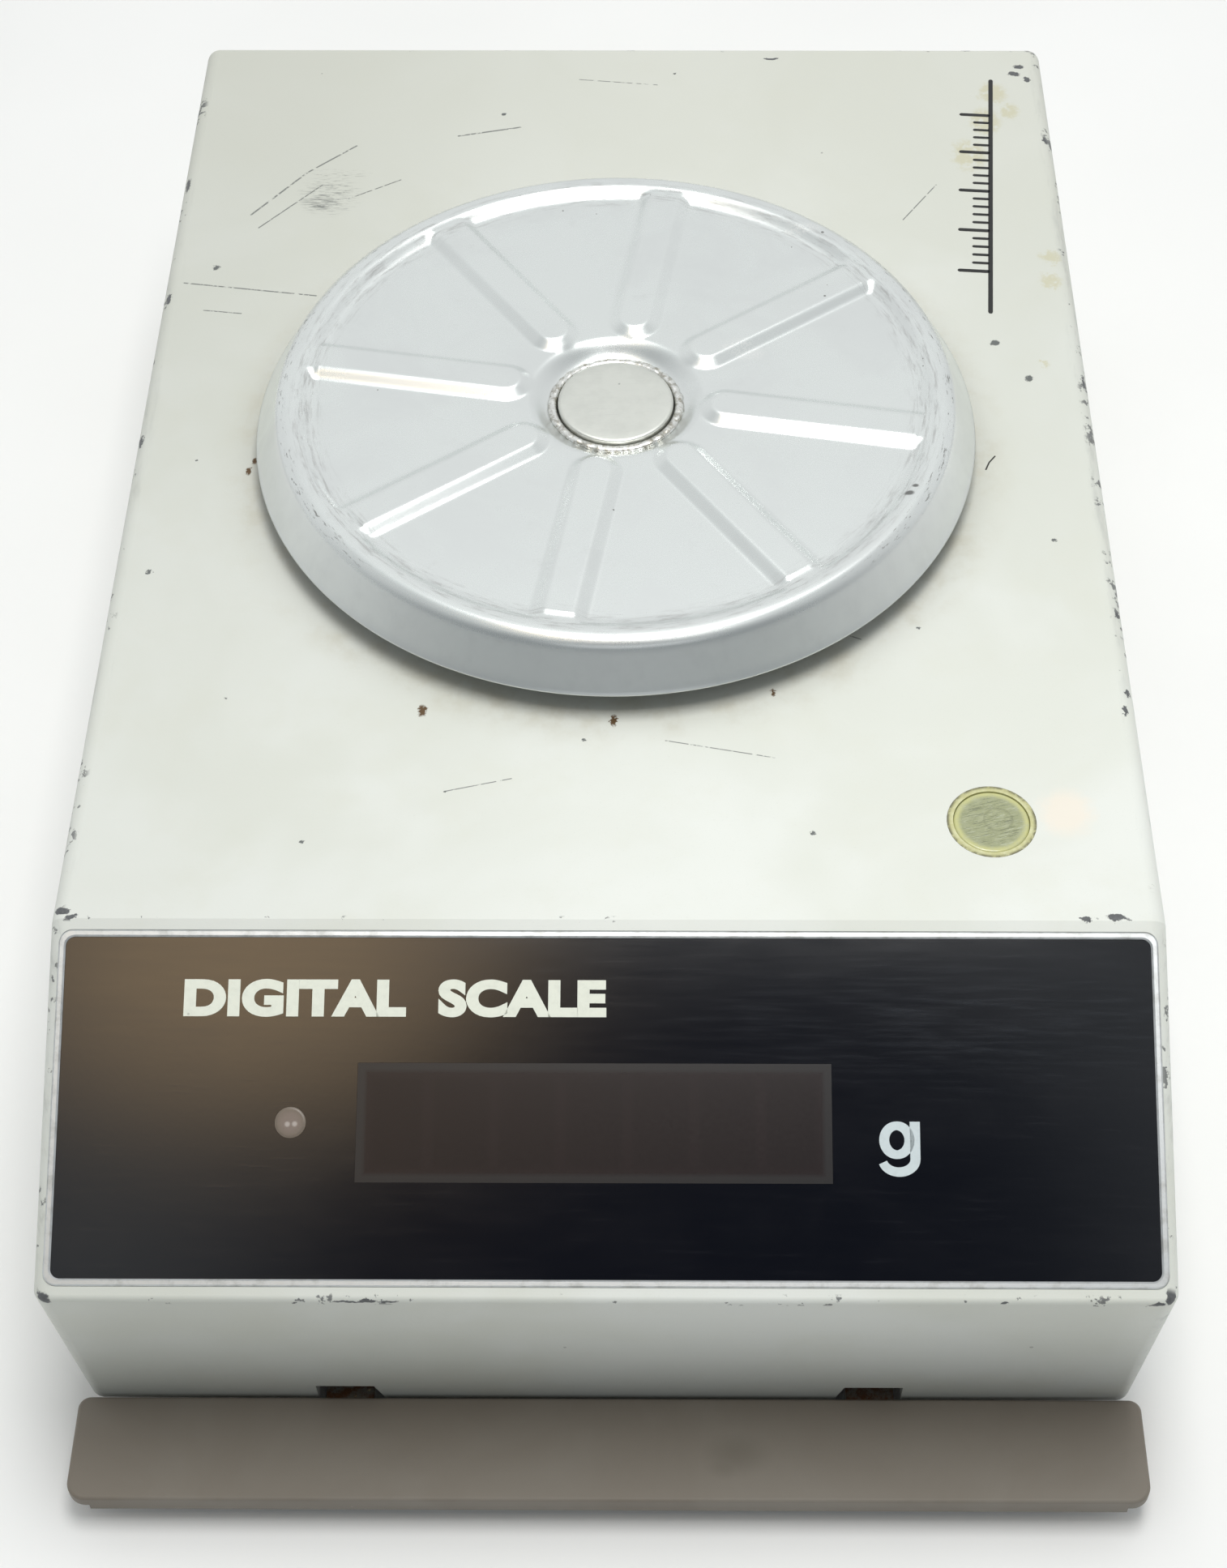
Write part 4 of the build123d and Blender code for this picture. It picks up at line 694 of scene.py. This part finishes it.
def circuit_board():
    g = Mat("circuit_board")
    P = g.mm()
    x, y, z = g.xyz(P)
    kx = g.math("PINGPONG", x, 1.27)
    ky = g.math("PINGPONG", y, 1.27)
    sel = g.voro(g.stretch(P, 1.0, 0.35, 1.0), 0.11, out="Color")
    sr = g.new("ShaderNodeSeparateColor")
    g.put(sr.inputs[0], sel)
    pick = g.ss(S(g, sr.outputs[0]), 0.45, 0.5)
    tx = g.ss(kx, 0.30, 0.18) * pick
    ty = g.ss(ky, 0.30, 0.18) * (1.0 - pick)
    pad = g.specks(P, 5.08, 1.0, 0.4)
    n = g.noise(P, 0.1, 3.0, 0.6)
    col = g.mix(g.ss(n, 0.35, 0.7), (0.020, 0.120, 0.050), (0.028, 0.150, 0.065))
    col = g.mix(g.max(tx, ty) * 0.65, col, (0.055, 0.260, 0.110))
    col = g.mix(pad, col, (0.62, 0.60, 0.56))
    g.set(Base_Color=col, Roughness=g.clamp(n * 0.15 + 0.32), Coat_Weight=0.3, Coat_Roughness=0.2)
    g.bump(g.max(tx, ty) * 0.5 + pad, 0.4, 0.08)
    return g.m


def fuse_glass():
    g = Mat("fuse_glass")
    P = g.mm()
    n = g.noise(P, 0.5, 3.0, 0.6)
    y = g.xyz(P)[1]
    cap = g.ss(g.math("PINGPONG", y, 5.0), 1.8, 2.2)
    col = g.mix(g.ss(n, 0.4, 0.7), (0.72, 0.76, 0.76), (0.80, 0.83, 0.82))
    col = g.mix(cap, (0.60, 0.58, 0.50), col)
    g.set(Base_Color=col, Roughness=g.clamp(n * 0.10 + 0.06), Coat_Weight=0.6, Coat_Roughness=0.05, Specular_IOR_Level=0.6)
    g.bump(n, 0.15, 0.03)
    return g.m


BUILDERS = {
    "painted_casting": painted_casting, "trim_metal": trim_metal, "fascia_black": fascia_black, "red_filter": red_filter,
    "lens_smoke": lens_smoke, "cup_plastic": cup_plastic, "vial_fluid": vial_fluid, "pan_aluminium": pan_aluminium,
    "ring_aluminium": ring_aluminium, "hub_aluminium": hub_aluminium, "bar_plastic": bar_plastic, "rusty_steel": rusty_steel,
    "circuit_board": circuit_board, "fuse_glass": fuse_glass,
    "zinc_steel": lambda: simple("zinc_steel", (0.60, 0.60, 0.58), (0.48, 0.49, 0.49), 0.9, 0.42, 0.09, 0.25, 0.04, (0.25, 0.20, 0.14)),
    "chip_plastic": lambda: simple("chip_plastic", (0.016, 0.016, 0.017), (0.028, 0.028, 0.029), 0.0, 0.5, 0.6, 0.4, 0.05),
    "lamp_red": lambda: simple("lamp_red", (0.30, 0.012, 0.010), (0.42, 0.030, 0.022), 0.0, 0.25, 0.5, 0.1, 0.03, None, 0.6),
    "screw_steel": lambda: simple("screw_steel", (0.56, 0.56, 0.54), (0.44, 0.43, 0.41), 0.95, 0.36, 0.5, 0.4, 0.05, (0.16, 0.11, 0.07)),
    "capacitor_sleeve": lambda: simple("capacitor_sleeve", (0.020, 0.045, 0.16), (0.030, 0.060, 0.20), 0.0, 0.3, 0.2, 0.15, 0.04, None, 0.5),
    "cell_aluminium": lambda: simple("cell_aluminium", (0.66, 0.67, 0.67), (0.56, 0.57, 0.58), 1.0, 0.38, 0.12, 0.3, 0.04, (0.3, 0.3, 0.29), 0.0, (0, 0.9, (0.50, 0.51, 0.52))),
    "connector_plastic": lambda: simple("connector_plastic", (0.66, 0.63, 0.53), (0.58, 0.55, 0.45), 0.0, 0.5, 0.2, 0.2, 0.04),
    "ribbon_grey": lambda: simple("ribbon_grey", (0.32, 0.32, 0.33), (0.26, 0.26, 0.27), 0.0, 0.5, 0.2, 0.5, 0.12, None, 0.0, (0, 1.27, (0.12, 0.12, 0.13))),
    "laminated_iron": lambda: simple("laminated_iron", (0.10, 0.085, 0.070), (0.15, 0.13, 0.11), 0.6, 0.5, 0.25, 0.6, 0.12, (0.20, 0.09, 0.04), 0.2, (2, 0.7, (0.03, 0.026, 0.022))),
    "winding_tape": lambda: simple("winding_tape", (0.55, 0.42, 0.08), (0.47, 0.35, 0.06), 0.0, 0.32, 0.12, 0.3, 0.08, None, 0.4, (2, 12.0, (0.34, 0.25, 0.04))),
    "connector_black": lambda: simple("connector_black", (0.012, 0.012, 0.012), (0.022, 0.022, 0.023), 0.0, 0.38, 0.25, 0.25, 0.05),
    "brass_pins": lambda: simple("brass_pins", (0.68, 0.50, 0.20), (0.56, 0.40, 0.15), 1.0, 0.3, 0.6, 0.2, 0.03, (0.20, 0.13, 0.05)),
    "foot_rubber": lambda: simple("foot_rubber", (0.018, 0.018, 0.018), (0.034, 0.033, 0.031), 0.0, 0.75, 0.4, 0.5, 0.08, (0.10, 0.095, 0.085)),
    "spring_steel": lambda: simple("spring_steel", (0.42, 0.42, 0.43), (0.32, 0.31, 0.30), 1.0, 0.32, 0.5, 0.3, 0.04, (0.16, 0.09, 0.05)),
    "coil_copper": lambda: simple("coil_copper", (0.56, 0.22, 0.08), (0.46, 0.17, 0.06), 0.85, 0.3, 0.4, 0.7, 0.12, None, 0.4, (2, 0.5, (0.20, 0.06, 0.02))),
    "foot_plastic": lambda: simple("foot_plastic", (0.055, 0.053, 0.050), (0.080, 0.077, 0.072), 0.0, 0.5, 0.3, 0.3, 0.06, (0.16, 0.15, 0.13)),
}


def mat(slot):
    if slot not in MATS:
        MATS[slot] = BUILDERS[slot]()
    return MATS[slot]


for name, ob in NODES.items():
    ob.data.materials.clear()
    ob.data.materials.append(mat(SLOT_OF[name]))


# ---------------------------------------------------------------- mesh helpers
def mesh_object(name, verts, faces, slot, body, smooth=True, material=None):
    me = bpy.data.meshes.new(name)
    me.from_pydata([tuple(c * MM for c in v) for v in verts], [], faces)
    me.validate()
    me.update()
    if smooth:
        me.polygons.foreach_set("use_smooth", [True] * len(me.polygons))
    ob = bpy.data.objects.new(name, me)
    scene.collection.objects.link(ob)
    me.materials.append(material or mat(slot))
    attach(ob, body)
    return ob


def smoothstep(t):
    t = min(1.0, max(0.0, t))
    return t * t * (3 - 2 * t)


# ---------------------------------------------------------------- weighing pan
FLANK = 2.9           # length of a rib's sloped flank, mm
RIB_H = 1.5


def flank(t):
    """Rib height share at t (0 foot, 1 crest): straight flank with rounded ends."""
    t = min(1.0, max(0.0, t))
    k = 0.22
    if t < k:
        y = t * t / (2 * k)
    elif t > 1 - k:
        y = (1 - k) - (1 - t) ** 2 / (2 * k)
    else:
        y = t - k / 2
    return y / (1 - k)


def rib(x, y):
    """Height of the pressed ribs at a point measured from the pan's centre."""
    a = math.degrees(math.atan2(y, x))
    k = round((a - 90 - RIB_TURN) / 45.0)
    t = math.radians(90 + RIB_TURN + 45 * k)
    along = x * math.cos(t) + y * math.sin(t)
    across = -x * math.sin(t) + y * math.cos(t)
    half = 5.6
    c0, c1 = 16.6 + half, 63.6 - half * 0.45
    d = half - (abs(across) if along > c0 else math.hypot(along - c0, across))
    h = flank(d / FLANK) if d > 0 else 0.0
    if along > c1:
        h *= 1.0 - smoothstep((along - c1) / 3.6) * 0.0
    return RIB_H * h


def make_pan():
    import numpy as np
    nt = 720
    # top surface from the hole to the rim's crest, then the skirt, then the underside back to the hole
    radii, zs, ribk = [], [], []

    def add(r, z, k=0.0):
        radii.append(r)
        zs.append(z)
        ribk.append(k)

    r = 12.2
    while r < 59.9:
        # floor sunk round the hub
        t = (r - 12.9) / 4.7
        z = 92.25 + 2.75 * smoothstep(t)
        add(r, z, smoothstep((r - 13.5) / 3.5))
        r += 0.4 if r < 20 or r > 56 else 0.55
    prof = [(59.9, 95.02), (60.4, 95.08), (60.9, 95.24), (61.4, 95.50), (61.9, 95.82), (62.3, 96.12), (62.7, 96.38), (63.1, 96.56),
            (63.5, 96.66), (64.0, 96.70), (64.6, 96.70), (65.1, 96.68), (65.5, 96.62), (65.8, 96.50), (66.1, 96.33),
            (66.5, 96.07), (66.9, 95.78), (67.2, 95.48), (67.45, 95.12), (67.7, 94.66), (68.1, 93.92), (68.7, 92.82), (69.4, 91.55),
            (70.1, 90.28), (70.8, 89.02), (71.4, 87.95), (71.75, 87.45), (71.95, 87.26),
            (71.85, 87.2), (71.5, 87.25), (71.1, 87.8), (70.6, 88.8), (70.0, 89.9), (69.3, 91.0), (68.6, 91.9), (67.8, 92.8),
            (66.8, 93.8), (65.8, 94.6), (64.8, 94.85), (63.9, 94.8), (63.2, 94.4), (62.5, 93.95), (61.9, 93.72)]
    for i, (a, z) in enumerate(prof):
        add(a, z, max(0.0, 1.0 - i / 6.0) if i < 6 else 0.0)
    r = 61.2
    while r > 12.3:
        t = (r - 13.3) / 4.7
        z = 90.95 + 2.75 * smoothstep(t)
        add(r, z, smoothstep((r - 14.0) / 3.5))
        r -= 0.8
    add(12.2, 90.95, 0.0)
    n = len(radii)
    verts, faces = [], []
    for i in range(n):
        for j in range(nt):
            th = 2 * math.pi * j / nt
            c, s = math.cos(th), math.sin(th)
            x, y = radii[i] * c, radii[i] * s
            z = zs[i]
            if ribk[i] > 0:
                z += rib(x, y) * ribk[i]
            verts.append((x, PAN_Y + y, z))
    for i in range(n):
        i2 = (i + 1) % n
        for j in range(nt):
            j2 = (j + 1) % nt
            faces.append((i * nt + j, i * nt + j2, i2 * nt + j2, i2 * nt + j))
    ob = mesh_object("weighing_pan", verts, faces, "pan_aluminium", "pan")
    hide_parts("pan")
    return ob


make_pan()


def revolve(name, prof, slot, body, nt=256, wave=None, centre=(0.0, PAN_Y), close=True):
    """Closed profile (r, z) turned about a vertical axis; wave(theta, r, z) may shift a point."""
    verts, faces = [], []
    n = len(prof)
    for i, (r, z) in enumerate(prof):
        for j in range(nt):
            th = 2 * math.pi * j / nt
            rr, zz = (r, z) if wave is None else wave(th, r, z, i)
            verts.append((centre[0] + rr * math.cos(th), centre[1] + rr * math.sin(th), zz))
    for i in range(n if close else n - 1):
        i2 = (i + 1) % n
        for j in range(nt):
            j2 = (j + 1) % nt
            faces.append((i * nt + j, i * nt + j2, i2 * nt + j2, i2 * nt + j))
    return mesh_object(name, verts, faces, slot, body)


def make_ring():
    rnd = random.Random(7)
    ph = [(rnd.uniform(0, 6.28), k, rnd.uniform(0.4, 1.0)) for k in (11, 17, 26, 37)]

    def wave(th, r, z, i):
        w = sum(a * math.sin(k * th + p) for p, k, a in ph) / 2.8
        if z > 92.3:
            return r + 0.16 * w * (1 if r > 12.6 else 0.3), z + 0.10 * w
        if r > 12.6 and z > 91.5:
            return r + 0.16 * w, z
        return r, z

    prof = [(11.72, 90.3), (13.9, 90.3), (13.9, 90.84), (12.15, 90.88), (12.15, 92.3), (13.2, 92.32), (13.5, 92.42), (13.45, 92.66),
            (13.1, 92.86), (12.7, 92.95), (12.3, 92.93), (12.0, 92.8), (11.85, 92.6), (11.72, 92.2)]
    ob = revolve("crimp_ring", prof, "ring_aluminium", "pan", 360, wave)
    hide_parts("pan_ring")


make_ring()


def make_hub():
    """Turned cap: very slightly crowned disc with a rounded edge, on its stem."""
    prof = [(0.0, 80.0), (3.9, 80.0), (3.9, 90.4), (11.1, 90.4), (11.45, 90.6), (11.5, 90.9), (11.5, 93.15), (11.42, 93.38),
            (11.22, 93.52), (10.8, 93.56), (9.0, 93.60), (6.0, 93.62), (3.0, 93.63), (0.0, 93.63)]
    nt = 180
    verts, faces = [(0.0, PAN_Y, 80.0), (0.0, PAN_Y, 93.6)], []
    ring = prof[1:-1]
    for r, z in ring:
        for j in range(nt):
            th = 2 * math.pi * j / nt
            verts.append((r * math.cos(th), PAN_Y + r * math.sin(th), min(z, 93.6)))
    for i in range(len(ring) - 1):
        for j in range(nt):
            j2 = (j + 1) % nt
            a, b = 2 + i * nt, 2 + (i + 1) * nt
            faces.append((a + j, a + j2, b + j2, b + j))
    last = 2 + (len(ring) - 1) * nt
    for j in range(nt):
        j2 = (j + 1) % nt
        faces.append((0, 2 + j2, 2 + j))
        faces.append((1, last + j, last + j2))
    ob = mesh_object("hub_cap", verts, faces, "hub_aluminium", "pan")
    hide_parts("pan_hub")


make_hub()


# ---------------------------------------------------------------- printed markings
def ink(name, rgb, rough, wear=0.25):
    g = Mat(name)
    P = g.mm()
    n = g.noise(P, 0.8, 4.0, 0.65)
    f = g.noise(P, 5.0, 2.0, 0.6)
    dull = tuple(c * 0.72 for c in rgb)
    col = g.mix(g.ss(n, 0.42, 0.72) * wear, rgb, dull)
    col = g.mix(g.specks(P, 2.2, 0.22, 0.25) * 0.5, col, tuple(c * 0.35 + 0.02 for c in rgb))
    g.set(Base_Color=col, Roughness=g.clamp(f * 0.15 + rough))
    g.bump(f, 0.25, 0.02)
    return g.m


def text_mesh(name, body, size, weight, shear, spacing=1.0):
    cu = bpy.data.curves.new(name, "FONT")
    cu.body = body
    cu.size = size
    cu.offset = weight
    cu.shear = shear
    cu.space_character = spacing
    cu.resolution_u = 8
    cu.extrude = 0.00001
    ob = bpy.data.objects.new(name, cu)
    scene.collection.objects.link(ob)
    bpy.context.view_layer.update()
    me = bpy.data.meshes.new_from_object(ob.evaluated_get(bpy.context.evaluated_depsgraph_get()))
    bpy.data.objects.remove(ob)
    return me


def fit_text(name, body, u0, u1, v0, v1, weight, shear, material, spacing=1.0, h=0.0):
    """Generic wording set on the display face between these in-plane limits, mm."""
    me = text_mesh(name, body, 0.01, weight, shear, spacing)
    xs = [v.co.x for v in me.vertices]
    ys = [v.co.y for v in me.vertices]
    zs = [v.co.z for v in me.vertices]
    sx = (u1 - u0) / (max(xs) - min(xs))
    sy = (v1 - v0) / (max(ys) - min(ys))
    for v in me.vertices:
        u = u0 + (v.co.x - min(xs)) * sx
        w = v1 - (v.co.y - min(ys)) * sy
        t = 0.0 if v.co.z < (max(zs) + min(zs)) / 2 else 0.05
        v.co = face(u, w, -0.09 + t + h) * MM
    me.materials.clear()
    me.materials.append(material)
    ob = bpy.data.objects.new(name, me)
    scene.collection.objects.link(ob)
    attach(ob, "housing")
    return ob


white_ink = ink("printed_white", srgb(219, 222, 209), 0.42)
cool_ink = ink("printed_cool_white", srgb(196, 207, 210), 0.42)
black_ink = ink("printed_black", (0.008, 0.008, 0.008), 0.38, 0.2)
fit_text("legend_plain", "DIGITAL  SCALE", -73.2, -0.2, 10.6, 17.2, 0.00058, 0.0, white_ink, 1.05)


def make_unit():
    """Letter g on the display face: a bowl, a stem and a hook, each a flat ribbon."""
    verts, faces = [], []

    def ribbon(path, width, closed=False):
        n = len(path)
        k = len(verts)
        for i, (px, py) in enumerate(path):
            a = path[(i - 1) % n] if closed or i > 0 else path[i]
            b = path[(i + 1) % n] if closed or i < n - 1 else path[i]
            tx, ty = b[0] - a[0], b[1] - a[1]
            ln = math.hypot(tx, ty)
            w = width(i / (n - 1)) / 2
            ox, oy = -ty / ln * w, tx / ln * w
            for h in (-0.09, -0.035):
                for sgn in (1, -1):
                    verts.append(face(px + ox * sgn, py + oy * sgn, h))
        m = n if closed else n - 1
        for i in range(m):
            a, b = k + 4 * i, k + 4 * ((i + 1) % n)
            faces.extend([(a, b, b + 1, a + 1), (a + 2, a + 3, b + 3, b + 2), (a, a + 2, b + 2, b), (a + 1, b + 1, b + 3, a + 3)])
        if not closed:
            a, b = k, k + 4 * (n - 1)
            faces.extend([(a, a + 1, a + 3, a + 2), (b, b + 2, b + 3, b + 1)])

    cx, cy, rx, ry = 49.45, 38.1, 2.15, 2.45
    bowl = [(cx + rx * math.cos(t), cy + ry * math.sin(t)) for t in (2 * math.pi * i / 48 for i in range(48))]
    ribbon(bowl, lambda t: 1.45 + 0.25 * abs(math.cos(2 * math.pi * t)), closed=True)
    hook = [(52.55, 34.95), (52.55, 37.5), (52.55, 40.0)]
    for i in range(17):
        t = math.pi * 0.92 * i / 16
        hook.append((49.75 + 2.8 * math.cos(t), 41.35 + 2.15 * math.sin(t)))
    ribbon(hook, lambda t: 1.75 - 0.25 * t)
    return mesh_object("unit_gram", verts, faces, "fascia_black", "housing", smooth=False, material=cool_ink)


make_unit()


def make_graduation():
    """A plain row of graduation strokes beside the pan, in place of any lettering."""
    a, b = Vector((78.8, 69.8)), Vector((85.0, 149.6))
    d = (b - a).normalized()
    n = Vector((-d.y, d.x))
    length = (b - a).length
    verts, faces = [], []

    def stroke(p, q, w):
        t = (q - p).normalized()
        s = Vector((-t.y, t.x)) * (w / 2)
        k = len(verts)
        cap = 4
        outline = []
        for i in range(cap + 1):
            th = math.pi * i / cap
            outline.append(q + s * math.cos(th) + t * (w / 2) * math.sin(th))
        for i in range(cap + 1):
            th = math.pi * i / cap
            outline.append(p - s * math.cos(th) - t * (w / 2) * math.sin(th))
        m = len(outline)
        for h in (82.0, 82.06):
            for o in outline:
                verts.append((o.x, o.y, h))
        faces.append(tuple(k + m + i for i in range(m)))
        faces.append(tuple(k + i for i in reversed(range(m))))
        for i in range(m):
            j = (i + 1) % m
            faces.append((k + i, k + j, k + m + j, k + m + i))

    stroke(a, b, 1.0)
    count = 20
    for i in range(count + 1):
        s = 13.0 + (length - 26.0) * i / count
        p = a + d * s
        long = 6.6 if i % 5 == 0 else 3.6
        stroke(p + n * 0.6, p + n * long, 0.95 if i % 5 == 0 else 0.75)
    ob = mesh_object("graduation_marks", verts, faces, "painted_casting", "housing", smooth=False, material=black_ink)
    return ob


make_graduation()


# ---------------------------------------------------------------- floor and light
def make_floor():
    g = Mat("studio_floor")
    P = g.mm()
    weave = g.noise(g.stretch(P, 1.0, 1.0, 1.0), 1.6, 2.0, 0.5)
    cloud = g.noise(P, 0.008, 3.0, 0.5)
    col = g.mix(g.ss(cloud, 0.3, 0.7), (0.865, 0.865, 0.860), (0.895, 0.895, 0.892))
    g.set(Base_Color=col, Roughness=0.9, Specular_IOR_Level=0.1)
    g.bump(weave, 0.15, 0.1)
    me = bpy.data.meshes.new("studio_floor")
    s = 6.0
    me.from_pydata([(-s, -s, 0), (s, -s, 0), (s, s, 0), (-s, s, 0)], [], [(0, 1, 2, 3)])
    me.materials.append(g.m)
    ob = bpy.data.objects.new("studio_floor", me)
    scene.collection.objects.link(ob)
    ob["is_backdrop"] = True


make_floor()


def area(name, loc, target, sx, sy, power, colour=(1, 1, 1)):
    li = bpy.data.lights.new(name, "AREA")
    li.shape, li.size, li.size_y = "RECTANGLE", sx, sy
    li.energy, li.color = power, colour
    ob = bpy.data.objects.new(name, li)
    scene.collection.objects.link(ob)
    d = Vector(target) - Vector(loc)
    ob.matrix_world = Matrix.Translation(Vector(loc)) @ d.to_track_quat("-Z", "Y").to_matrix().to_4x4()
    return ob


KEY = 4.2
area("key_overhead", (0.06, 0.0, 0.85), (0.03, 0.0, 0.0), 0.50, 0.28, KEY, (1.0, 0.99, 0.97))
area("front_fill", (0.10, -1.10, 0.85), (0.0, -0.05, 0.0), 0.9, 0.5, 0.5, (0.98, 0.99, 1.0))


def make_world():
    w = bpy.data.worlds.new("soft_studio")
    w.use_nodes = True
    scene.world = w
    g = Graph(w.node_tree)
    out = g.new("ShaderNodeOutputWorld")
    bg = g.new("ShaderNodeBackground")
    g.t.links.new(bg.outputs[0], out.inputs[0])
    D = g.coords("Generated")
    x, y, z = g.xyz(D)
    # walls: light grey, brighter behind the object, cooler and dimmer in front
    col = g.mix(g.ss(y, -0.9, 0.6), (0.27, 0.29, 0.30), (0.80, 0.82, 0.82))
    # ceiling
    col = g.mix(g.ss(z, 0.72, 0.95), col, (0.64, 0.68, 0.685))

    def blob(cx, cy, rx, ry, soft):
        d = g.vmath("LENGTH", g.vmath("MULTIPLY", g.vmath("SUBTRACT", D, (cx, cy, 0.0)), (1.0 / rx, 1.0 / ry, 0.0)))
        return g.ss(d, 1.0 + soft, 1.0 - soft) * g.ss(z, 0.3, 0.5)

    # unlit patch over the front, where the camera and its operator stand
    col = g.mix(blob(0.018, -0.40, 0.178, 0.18, 0.32), col, (0.02, 0.024, 0.04))
    # warm patch, upper left of it
    col = g.mix(blob(-0.155, -0.238, 0.085, 0.055, 0.70) * 0.95, col, (5.0, 3.6, 2.1))
    g.put(bg.inputs["Color"], col)
    bg.inputs["Strength"].default_value = 1.0


make_world()

to = lambda b: [[float(c) for c in corner] for corner in b]
{"cad": to(CAD_BOX), "visual": to(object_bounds())}
